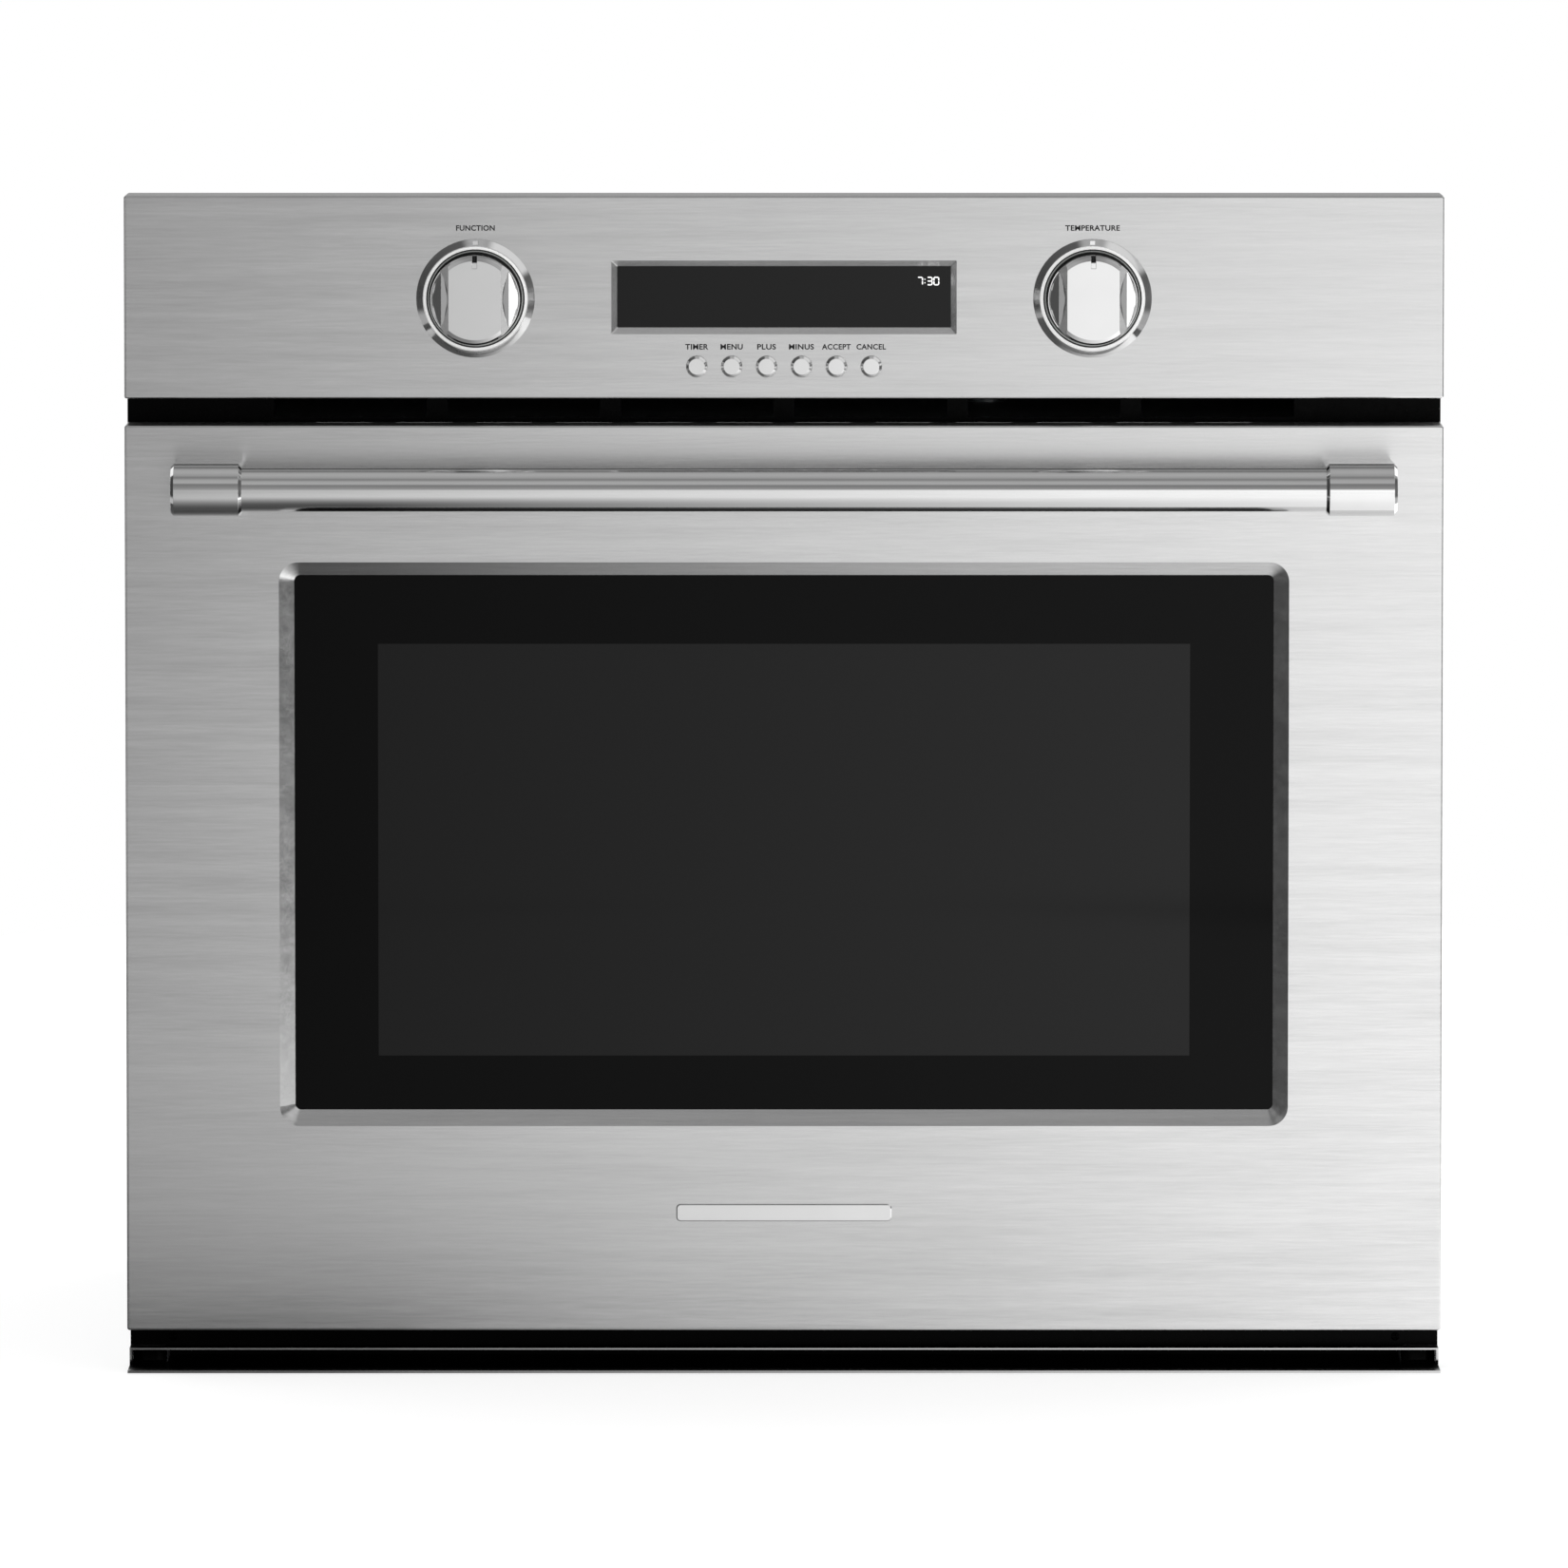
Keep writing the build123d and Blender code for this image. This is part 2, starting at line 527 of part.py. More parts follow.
def hinge_casing():
    """Hinge channel in the right side of the door, with the spring cartridge that it holds."""
    y, z = (-44.0, -15.0), (28.6, 262.0)
    casing = block(around(HINGE_X, 12), y, z)
    casing -= block(around(HINGE_X, 10.5), (y[0] + 1.5, 0), (z[0] - 1, z[1] - 1.5))
    casing -= rod((HINGE_X - 20, HINGE_Y, HINGE_Z), (HINGE_X + 20, HINGE_Y, HINGE_Z), PIN_R + 0.06)
    cartridge = rod((HINGE_X, -31, 70), (HINGE_X, -31, z[1] - 1.5), 8)
    piston = rod((HINGE_X, -31, 52), (HINGE_X, -31, 70), 3)
    return casing, cartridge, piston


def hinge_arm():
    """Fixed arm that hooks into the casing of the oven, and the pin that the door turns on."""
    eye_r = 7.6
    profile = Polyline(
        (HINGE_Y, HINGE_Z - 6), (16, HINGE_Z - 6), (16, HINGE_Z - 2), (24, HINGE_Z - 2),
        (24, HINGE_Z - 8), (58, HINGE_Z - 5), (64, HINGE_Z + 6), (HINGE_Y, HINGE_Z + 6), close=True)
    side_view = Plane(origin=(HINGE_X - 2.5, 0, 0), x_dir=(0, 1, 0), z_dir=(1, 0, 0))
    arm = extrude(side_view * make_face(profile), 5)
    arm += rod((HINGE_X - 2.5, HINGE_Y, HINGE_Z), (HINGE_X + 2.5, HINGE_Y, HINGE_Z), eye_r)
    arm -= rod((HINGE_X - 5, HINGE_Y, HINGE_Z), (HINGE_X + 5, HINGE_Y, HINGE_Z), PIN_R + 0.02)
    pin = rod((HINGE_X - 13.5, HINGE_Y, HINGE_Z), (HINGE_X + 13.5, HINGE_Y, HINGE_Z), PIN_R)
    return arm, pin


def hinge_receiver():
    """Channel behind the front frame that takes the hook of the hinge arm."""
    channel = block(around(HINGE_X, 9), (-SHEET, 78), (16, 48))
    channel -= block(around(HINGE_X, 7), (-2, 76), (14, 46))
    return channel + rod((HINGE_X - 8, 20, HINGE_Z - 5.2), (HINGE_X + 8, 20, HINGE_Z - 5.2), 2.6)


def handle_bar():
    end = BRACKET_X - BRACKET_WIDTH / 2 + 14
    bar = rod((-end, HANDLE_Y, HANDLE_Z), (end, HANDLE_Y, HANDLE_Z), BAR_R)
    return bar - rod((-end - 1, HANDLE_Y, HANDLE_Z), (end + 1, HANDLE_Y, HANDLE_Z), BAR_R - BAR_WALL)


def handle_bracket():
    """Stand-off at the right end of the bar: round in front, flat back to the door."""
    side_view = Plane(origin=(BRACKET_X - BRACKET_WIDTH / 2, 0, 0), x_dir=(0, 1, 0), z_dir=(1, 0, 0))
    nose = Pos(HANDLE_Y, HANDLE_Z) * Circle(BRACKET_R)
    middle_y = (HANDLE_Y + FACE_Y) / 2
    body = Pos(middle_y, HANDLE_Z) * Rectangle(FACE_Y - HANDLE_Y, 2 * BRACKET_R)
    bracket = extrude(side_view * (nose + body), BRACKET_WIDTH)
    sides = bracket.edges().filter_by(lambda e: abs(abs(e.center().X - BRACKET_X) - BRACKET_WIDTH / 2) < 0.01)
    rims = [e for e in sides if e.center().Y < FACE_Y - 0.5]
    bracket = chamfer(rims, BRACKET_CHAMFER)
    socket_end = BRACKET_X - BRACKET_WIDTH / 2 + 14.4
    bracket -= rod((BRACKET_X - 40, HANDLE_Y, HANDLE_Z), (socket_end, HANDLE_Y, HANDLE_Z), BAR_R + 0.03)
    for dz in (-7.5, 7.5):
        bracket -= rod((BRACKET_X, FACE_Y + 1, HANDLE_Z + dz), (BRACKET_X, FACE_Y - 14, HANDLE_Z + dz), 2.53)
    return bracket


def handle_screws():
    screws = []
    for side in (-1, 1):
        for dz in (-7.5, 7.5):
            x, z = side * BRACKET_X, HANDLE_Z + dz
            screw = rod((x, FACE_Y - 12, z), (x, FACE_Y + SHEET, z), 2.5)
            screw += rod((x, FACE_Y + SHEET, z), (x, FACE_Y + SHEET + 2.8, z), 4.4)
            screws.append(screw)
    return screws


def nameplate():
    plaque = plate(around(0, 62), (FACE_Y - 1.8, FACE_Y), around(93.5, 5), 2.5)
    rim = plaque.edges().filter_by(lambda e: abs(e.center().Y - FACE_Y + 1.8) < 0.01)
    return chamfer(rim, 0.6)


# ---- control fascia ----
def control_fascia():
    x, y, z = around(0, FRONT_HALF), (FACE_Y, FRAME_FRONT_Y), FASCIA_Z
    shell = plate(x, y, z, 1.5)
    front_edges = shell.edges().filter_by(lambda e: abs(e.center().Y - FACE_Y) < 0.01)
    shell = fillet(front_edges, EDGE_R)
    shell -= block(around(0, FRONT_HALF - SHEET), (FACE_Y + SHEET, 0), (z[0] + SHEET, z[1] - SHEET))
    shell += funnel(DISPLAY_OUTER, DISPLAY_INNER, FACE_Y + 0.6, DISPLAY_DEPTH - 0.6, 1.4)
    shell -= funnel(DISPLAY_OUTER, DISPLAY_INNER, FACE_Y, DISPLAY_DEPTH)
    opening = (FACE_Y + DISPLAY_DEPTH - 0.1, FACE_Y + DISPLAY_DEPTH + 1)
    shell -= plate(DISPLAY_INNER[0], opening, DISPLAY_INNER[1], DISPLAY_INNER[2])
    for side in (-1, 1):
        shell -= rod((side * KNOB_X, -50, KNOB_Z), (side * KNOB_X, -44, KNOB_Z), 4.8)
    for x in button_xs():
        shell -= rod((x, -50, BUTTON_Z), (x, -44, BUTTON_Z), BUTTON_R + 0.3)
    return shell


def button_xs():
    return [BUTTON_PITCH * (i - (len(BUTTON_NAMES) - 1) / 2) for i in range(len(BUTTON_NAMES))]


def display_window():
    front = FACE_Y + DISPLAY_DEPTH + 0.2
    return plate(around(0, 98.5), (front, front + 2), (600.8, 641.1), 1)


def control_housing():
    """Moulded box behind the fascia that holds the display and the button board."""
    y, z = (FACE_Y + SHEET + 0.2, -14.0), (568.5, 654.0)
    box = plate(around(0, 116), y, z, 4)
    return box - plate(around(0, 113.8), (y[0] - 1, y[1] - 2.2), (z[0] + 2.2, z[1] - 2.2), 3)


def control_board():
    """Circuit board with the display module and the six button switches on it."""
    pieces = [block(around(0, 108), (-32.6, -31), (572.5, 650))]
    pieces.append(block(around(0, 94), (-42, -32.6), (601, 641)))
    for x in button_xs():
        pieces.append(block(around(x, 3.1), (-36.6, -32.6), around(BUTTON_Z, 3.1)))
    pieces.append(block(around(0, 20), (-31, -24), (610, 630)))
    return pieces


def button(x):
    """Push button: domed cap, retaining collar behind the fascia and stem."""
    face = front_plane(x, FACE_Y, BUTTON_Z)
    cap = extrude(face * Circle(BUTTON_R), BUTTON_PROUD)
    rim = cap.edges().filter_by(lambda e: abs(e.center().Y - FACE_Y + BUTTON_PROUD) < 0.01)
    cap = chamfer(rim, 1.5)
    cap += rod((x, FACE_Y, BUTTON_Z), (x, FACE_Y + SHEET + 0.2, BUTTON_Z), BUTTON_R)
    cap += rod((x, FACE_Y + SHEET + 0.2, BUTTON_Z), (x, FACE_Y + SHEET + 1.6, BUTTON_Z), BUTTON_R + 1.2)
    stem_end = -36.6 - BUTTON_TRAVEL - 0.3
    return cap + rod((x, FACE_Y + SHEET + 1, BUTTON_Z), (x, stem_end, BUTTON_Z), 2.4)


def knob_turning(profile):
    """Solid of revolution about the right knob's axis, from (radius, distance in front) points."""
    half_section = make_face(Plane.XZ * Polyline(*profile, close=True))
    turned = revolve(half_section, Axis.Z)
    return front_plane(KNOB_X, FACE_Y, KNOB_Z) * turned


def knob_bezel():
    """Bevelled ring round the knob, notched at twelve o'clock."""
    ring = knob_turning([
        (HALO_R + 0.05, 0), (BEZEL_R, 0), (BEZEL_R, 0.6), (BEZEL_TOP_R + 0.5, BEZEL_HEIGHT),
        (HALO_R + 0.05, BEZEL_HEIGHT)])
    notch = block(around(KNOB_X, 1.5), (FACE_Y - 6, FACE_Y - 1.6), (KNOB_Z + BEZEL_TOP_R + 0.8, KNOB_Z + 36))
    return ring - notch


def halo_ring():
    """Translucent light guide inside the bezel."""
    return knob_turning([(WELL_R, 0), (HALO_R, 0), (HALO_R, 5.0), (HALO_R - 0.4, 5.4), (WELL_R, 5.4)])


def encoder():
    """Rotary encoder, its nut, and the black well that the knob turns in."""
    body = block(around(KNOB_X, 8), (-38, -30), around(KNOB_Z, 8))
    body += rod((KNOB_X, FACE_Y - 4.6, KNOB_Z), (KNOB_X, -37, KNOB_Z), 4.5)
    body -= rod((KNOB_X, FACE_Y - 6, KNOB_Z), (KNOB_X, -31.4, KNOB_Z), SPINDLE_R + 0.08)
    well = knob_turning([(8.2, 0), (WELL_R - 0.1, 0), (WELL_R - 0.1, 1.6), (8.2, 1.6)])
    nut = extrude(front_plane(KNOB_X, FACE_Y, KNOB_Z) * RegularPolygon(7.4, 6), 2.6)
    nut -= rod((KNOB_X, FACE_Y - 6, KNOB_Z), (KNOB_X, FACE_Y + 2, KNOB_Z), 4.52)
    return body, well, nut


def knob():
    """Dial with a straight grip: two segments cut away beside a tapered bar."""
    face_gap = KNOB_R - KNOB_FACE_R
    body = knob_turning([
        (0, KNOB_BASE + 4.5), (20, KNOB_BASE + 4.5), (20, KNOB_BASE), (KNOB_R - 0.5, KNOB_BASE),
        (KNOB_R, KNOB_BASE + 0.5), (KNOB_R, KNOB_FRONT - face_gap), (KNOB_R - 1.1, KNOB_FRONT - 1.1),
        (KNOB_FACE_R, KNOB_FRONT), (0, KNOB_FRONT)])
    reach = KNOB_FRONT + 2
    slope = (GRIP_BASE_HALF - GRIP_FRONT_HALF) / (KNOB_FRONT - KNOB_SHELF)
    tip = GRIP_FRONT_HALF - slope * (reach - KNOB_FRONT)
    segment = Polyline((GRIP_BASE_HALF, KNOB_SHELF), (40, KNOB_SHELF), (40, reach), (tip, reach), close=True)
    top_view = Plane(origin=(0, 40, 0), x_dir=(1, 0, 0), z_dir=(0, -1, 0))
    cutter = extrude(top_view * make_face(segment), 80)
    placed = front_plane(KNOB_X, FACE_Y, KNOB_Z)
    for side in (cutter, mirror(cutter, about=Plane.YZ)):
        body -= placed * side
    front = FACE_Y - KNOB_FRONT
    groove = block(around(KNOB_X, POINTER_HALF), (front - 5, front + 1), (KNOB_Z + POINTER_R, KNOB_Z + 40))
    groove += block(around(KNOB_X, POINTER_HALF), (front - 5, front + 5), (KNOB_Z + NOTCH_R, KNOB_Z + 40))
    bore = rod((KNOB_X, FACE_Y, KNOB_Z), (KNOB_X, FACE_Y - 22, KNOB_Z), SPINDLE_R + 0.03)
    return body - groove - bore


def knob_spindle():
    return rod((KNOB_X, FACE_Y - 21.5, KNOB_Z), (KNOB_X, -32, KNOB_Z), SPINDLE_R)


# ---- door lock ----
LATCH_X, LATCH_Y, LATCH_Z = 30.0, 18.5, (531.5, 534.5)
HOOK_RADII, HOOK_ARC = (30.0, 38.0), (120.0, 200.0)  # radii and angles of the finger about the pin, unlocked


def latch_housing():
    """Base plate of the door lock, its pivot pin and its motor."""
    base = block((-18, 78), (2, 66), (526, 527.5))
    base += rod((LATCH_X, LATCH_Y, 527), (LATCH_X, LATCH_Y, 541), 3)
    return base, block((52, 76), (38, 62), (527.5, 542))


def door_latch():
    """Flat hook on the pivot pin; its finger is an arc about the pin, so it slides along itself."""
    low, high = LATCH_Z
    inner, outer = HOOK_RADII
    start, end = HOOK_ARC
    inside = CenterArc((0, 0), inner, start, end - start)
    outside = CenterArc((0, 0), outer, start, end - start)
    finger = make_face([inside, Line(inside @ 1, outside @ 1), outside, Line(outside @ 0, inside @ 0)])
    spoke = Rot(0, 0, start + 7) * Pos(18, 0) * Rectangle(30, 7)
    hook = extrude(finger + Circle(8) + spoke, high - low) - Cylinder(3.06, 40)
    return Pos(LATCH_X, LATCH_Y, low) * hook


# ---- write every sub-part ----
save("base_pan", base_pan())
save("side_panels", *mirrored(side_panel()))
save("top_cover", top_cover())
save("rear_cover", rear_cover())
save("conduit_gland", conduit_gland())
save("front_frame", front_frame())
save("lower_trim", lower_trim())
save("cavity_liner", *cavity_liner())
save("insulation_blanket", insulation_blanket())
save("door_gasket", door_gasket())
save("broil_element", broil_element())
save("bake_element", bake_element())
save("ring_element", ring_element())
save("fan_baffle", fan_baffle())
save("convection_fan", *convection_fan())
save("fan_motor", fan_motor())
save("rack_guides", *mirrored(rack_guide()))
save("lower_rack", oven_rack(RAIL_ZS[1]))
save("upper_rack", oven_rack(RAIL_ZS[4]))
save("lamp_lenses", *mirrored(lamp_lens()))
save("lamp_housings", *[part for piece in lamp_housing() for part in mirrored(piece)])
save("temperature_probe", temperature_probe())
save("cavity_vent", cavity_vent())
save("air_channel", air_channel())
save("blower_housing", blower_housing())
save("blower_wheel", *blower_wheel())
save("blower_motor", blower_motor())
save("power_board", *power_board())

save("door_skin", door_skin())
save("outer_glass", outer_glass())
save("middle_glasses", *middle_glasses())
save("inner_glass", inner_glass())
save("door_liner", door_liner())
save("glass_rails", *glass_rails())
save("hinge_casings", *[part for piece in hinge_casing() for part in mirrored(piece)])
save("hinge_arms", *[part for piece in hinge_arm() for part in mirrored(piece)])
save("hinge_receivers", *mirrored(hinge_receiver()))
save("handle_bar", handle_bar())
save("handle_brackets", *mirrored(handle_bracket()))
save("handle_screws", *handle_screws())
save("nameplate", nameplate())

save("control_fascia", control_fascia())
save("display_window", display_window())
save("control_housing", control_housing())
save("control_board", *control_board())
save("knob_bezels", *mirrored(knob_bezel()))
save("halo_rings", *mirrored(halo_ring()))
save("encoders", *[part for piece in encoder() for part in mirrored(piece)])
save("temperature_knob", knob())
save("temperature_spindle", knob_spindle())
save("function_knob", mirror(knob(), about=Plane.YZ))
save("function_spindle", mirror(knob_spindle(), about=Plane.YZ))
for label, x in zip(BUTTON_NAMES, button_xs()):
    save(f"{label}_button", button(x))
save("latch_housing", *latch_housing())
save("door_latch", door_latch())
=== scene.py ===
import json
import math

import bpy
import numpy as np
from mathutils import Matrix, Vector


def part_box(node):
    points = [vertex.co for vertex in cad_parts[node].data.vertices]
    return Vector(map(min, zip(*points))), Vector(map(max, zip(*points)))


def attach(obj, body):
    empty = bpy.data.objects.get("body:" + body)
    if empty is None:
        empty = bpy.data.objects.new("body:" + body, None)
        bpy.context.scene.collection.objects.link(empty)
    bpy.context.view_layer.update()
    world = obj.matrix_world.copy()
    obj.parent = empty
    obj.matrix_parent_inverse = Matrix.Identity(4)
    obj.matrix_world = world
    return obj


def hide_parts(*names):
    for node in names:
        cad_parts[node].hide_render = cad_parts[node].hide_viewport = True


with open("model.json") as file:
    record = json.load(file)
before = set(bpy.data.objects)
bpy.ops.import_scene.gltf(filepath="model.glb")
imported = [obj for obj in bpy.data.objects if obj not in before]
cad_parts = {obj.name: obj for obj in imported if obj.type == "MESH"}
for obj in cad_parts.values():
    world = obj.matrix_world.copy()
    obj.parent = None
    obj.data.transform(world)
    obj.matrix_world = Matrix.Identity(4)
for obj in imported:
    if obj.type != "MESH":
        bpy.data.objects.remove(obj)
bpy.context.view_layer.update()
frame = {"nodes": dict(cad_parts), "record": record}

mm = 0.001
nodes = frame["nodes"]
slotOf = {part["node"]: part["material_slot"] for part in frame["record"]["subparts"]}
print("frame loaded:", len(nodes), "nodes")


def boxOf(name):
    # a CAD node's lowest and highest corners
    low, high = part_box(name)
    return np.array(low), np.array(high)


def toLinear(hexText):
    # sRGB to linear: c / 12.92 below 0.04045, else ((c + 0.055) / 1.055) to the power 2.4
    channels = [int(hexText[i:i + 2], 16) / 255 for i in (1, 3, 5)]
    return tuple(c / 12.92 if c <= 0.04045 else ((c + 0.055) / 1.055) ** 2.4 for c in channels) + (1.0,)


def addNode(tree, kind, settings=None, links=None):
    # settings are the node's own fields or its input sockets; links bring another node's output in
    node = tree.nodes.new(kind)
    for key, value in (settings or {}).items():
        if isinstance(key, str) and hasattr(node, key):
            setattr(node, key, value)
        else:
            node.inputs[key].default_value = value
    for key, source in (links or {}).items():
        tree.links.new(source, node.inputs[key])
    return node


def startMaterial(name):
    material = bpy.data.materials.new(name)
    material.use_nodes = True
    material.node_tree.nodes.clear()
    return material, material.node_tree


def closeMaterial(material, shader):
    addNode(material.node_tree, "ShaderNodeOutputMaterial", links={"Surface": shader.outputs[0]})
    return material


def stretchedNoise(tree, sizes, detail=3.0, roughness=0.55):
    # noise stretched so that one cell measures sizes (x, y, z) in metres
    place = addNode(tree, "ShaderNodeTexCoord")
    stretch = addNode(tree, "ShaderNodeMapping", {"Scale": [1 / s for s in sizes]},
                      {"Vector": place.outputs["Object"]})
    return addNode(tree, "ShaderNodeTexNoise", {"Scale": 1.0, "Detail": detail, "Roughness": roughness},
                   {"Vector": stretch.outputs[0]}).outputs["Fac"]


def toneAndGloss(tree, pattern, look, band=(0.25, 0.75)):
    # one pattern sets both: the colour from dark to light, and the roughness across the band's values
    tone = addNode(tree, "ShaderNodeMix", {
        "data_type": "RGBA", 6: toLinear(look["dark"]), 7: toLinear(look["light"])}, {0: pattern})
    gloss = addNode(tree, "ShaderNodeMapRange", {
        "From Min": band[0], "From Max": band[1],
        "To Min": look["roughness"][0], "To Max": look["roughness"][1]}, {"Value": pattern})
    return {"Base Color": tone.outputs[2], "Roughness": gloss.outputs[0]}


def brushedMetal(name, look):
    # metal rubbed with a belt along X: fine and broad streaks together, and highlights that smear across them
    material, tree = startMaterial(name)
    fine = stretchedNoise(tree, look["grain"], detail=4.0, roughness=0.7)
    broad = stretchedNoise(tree, [look["broad"] * s for s in look["grain"]], detail=2.0)
    both = addNode(tree, "ShaderNodeMath", {"operation": "ADD"}, {0: fine, 1: broad})
    streaks = addNode(tree, "ShaderNodeMapRange", {"From Min": 0.7, "From Max": 1.3},
                      {"Value": both.outputs[0]})
    bump = addNode(tree, "ShaderNodeBump", {"Strength": look["bump"], "Distance": 0.02 * mm}, {"Height": fine})
    across = addNode(tree, "ShaderNodeVectorTransform", {
        "vector_type": "VECTOR", "convert_from": "OBJECT", "convert_to": "WORLD", "Vector": look["smear"]})
    shader = addNode(tree, "ShaderNodeBsdfPrincipled", {
        "Metallic": 1.0, "Anisotropic": look["anisotropic"]}, {
        **toneAndGloss(tree, streaks.outputs[0], look, (0, 1)),
        "Normal": bump.outputs[0], "Tangent": across.outputs[0]})
    return closeMaterial(material, shader)


def polishedMetal(name, look):
    # buffed or plated metal: near mirror, with faint haze patches, hairline scratches and softened edges
    material, tree = startMaterial(name)
    haze = stretchedNoise(tree, [look["patch"]] * 3, detail=3.0)
    scratch = stretchedNoise(tree, look["scratch"], detail=2.0)
    edge = addNode(tree, "ShaderNodeBevel", {"samples": 4, "Radius": look["edge"]})
    bump = addNode(tree, "ShaderNodeBump", {"Strength": 0.06, "Distance": 0.01 * mm},
                   {"Height": scratch, "Normal": edge.outputs[0]})
    shader = addNode(tree, "ShaderNodeBsdfPrincipled", {"Metallic": 1.0}, {
        **toneAndGloss(tree, haze, look), "Normal": bump.outputs[0]})
    return closeMaterial(material, shader)


def galvanisedSheet(name, look):
    # hot-dip zinc: crystal spangles about a centimetre wide, each its own grey and gloss, with bent borders
    material, tree = startMaterial(name)
    place = addNode(tree, "ShaderNodeTexCoord")
    warp = stretchedNoise(tree, [look["warpCell"]] * 3, detail=2.0)
    bent = addNode(tree, "ShaderNodeMix", {"data_type": "VECTOR", 0: look["warp"]},
                   {4: place.outputs["Object"], 5: warp})
    cells = addNode(tree, "ShaderNodeTexVoronoi", {"Scale": 1 / look["spangle"]}, {"Vector": bent.outputs[1]})
    tone = addNode(tree, "ShaderNodeSeparateColor", links={"Color": cells.outputs["Color"]}).outputs[0]
    shader = addNode(tree, "ShaderNodeBsdfPrincipled", {"Metallic": 0.9},
                     toneAndGloss(tree, tone, look, (0, 1)))
    return closeMaterial(material, shader)


def firedEnamel(name, look):
    # porcelain enamel fired on steel: glassy, with a slight orange peel and small flecks
    material, tree = startMaterial(name)
    peel = stretchedNoise(tree, [look["peel"]] * 3, detail=1.0)
    place = addNode(tree, "ShaderNodeTexCoord")
    cells = addNode(tree, "ShaderNodeTexVoronoi", {"Scale": 1 / look["fleckSpacing"]},
                    {"Vector": place.outputs["Object"]})
    fleck = addNode(tree, "ShaderNodeMapRange", {
        "From Min": look["fleckSize"] * 0.6, "From Max": look["fleckSize"], "To Min": 1, "To Max": 0},
        {"Value": cells.outputs["Distance"]})
    tone = addNode(tree, "ShaderNodeMix", {
        "data_type": "RGBA", 6: toLinear(look["ground"]), 7: toLinear(look["fleck"])}, {0: fleck.outputs[0]})
    gloss = addNode(tree, "ShaderNodeMapRange", {
        "From Min": 0.25, "From Max": 0.75, "To Min": look["roughness"][0], "To Max": look["roughness"][1]},
        {"Value": peel})
    bump = addNode(tree, "ShaderNodeBump", {"Strength": 0.12, "Distance": 0.05 * mm}, {"Height": peel})
    shader = addNode(tree, "ShaderNodeBsdfPrincipled", {"IOR": look["ior"]}, {
        "Base Color": tone.outputs[2], "Roughness": gloss.outputs[0], "Normal": bump.outputs[0]})
    return closeMaterial(material, shader)


def floatGlass(name, look):
    # flat glass: a smooth sheen whose haze drifts slowly over the pane
    material, tree = startMaterial(name)
    haze = stretchedNoise(tree, [look["patch"]] * 3, detail=look["detail"])
    shader = addNode(tree, "ShaderNodeBsdfPrincipled", {
        "IOR": look["ior"], "Transmission Weight": look["clear"]}, toneAndGloss(tree, haze, look))
    return closeMaterial(material, shader)


def fineGrained(name, look):
    # spark-eroded moulding, sprayed paint or oxide: an even skin with a fine grit
    material, tree = startMaterial(name)
    grit = stretchedNoise(tree, [look["grit"]] * 3, detail=2.0)
    bump = addNode(tree, "ShaderNodeBump", {"Strength": 0.2, "Distance": 0.05 * mm}, {"Height": grit})
    shader = addNode(tree, "ShaderNodeBsdfPrincipled", {"IOR": 1.5}, {
        **toneAndGloss(tree, grit, look), "Normal": bump.outputs[0]})
    return closeMaterial(material, shader)


def spunFibre(name, look):
    # spun mineral or glass fibre: matt, tangled, softly mottled
    material, tree = startMaterial(name)
    tangle = stretchedNoise(tree, look["fibre"], detail=6.0, roughness=0.75)
    bump = addNode(tree, "ShaderNodeBump", {"Strength": 0.5, "Distance": 0.4 * mm}, {"Height": tangle})
    shader = addNode(tree, "ShaderNodeBsdfPrincipled", {"Sheen Weight": 0.3}, {
        **toneAndGloss(tree, tangle, look), "Normal": bump.outputs[0]})
    return closeMaterial(material, shader)


def circuitBoard(name, look):
    # printed circuit board: green solder mask crossed by a grid of coppery tracks, a little dusty
    material, tree = startMaterial(name)
    place = addNode(tree, "ShaderNodeTexCoord")
    tracks = addNode(tree, "ShaderNodeTexBrick", {
        "Scale": 1 / look["pitch"], "Mortar Size": 0.06, "Color1": toLinear(look["mask"]),
        "Color2": toLinear(look["maskLight"]), "Mortar": toLinear(look["track"])},
        {"Vector": place.outputs["Object"]})
    dust = addNode(tree, "ShaderNodeMapRange", {
        "From Min": 0.25, "From Max": 0.75, "To Min": look["roughness"][0], "To Max": look["roughness"][1]},
        {"Value": stretchedNoise(tree, [look["dust"]] * 3)})
    shader = addNode(tree, "ShaderNodeBsdfPrincipled", {"IOR": 1.5}, {
        "Base Color": tracks.outputs["Color"], "Roughness": dust.outputs[0]})
    return closeMaterial(material, shader)


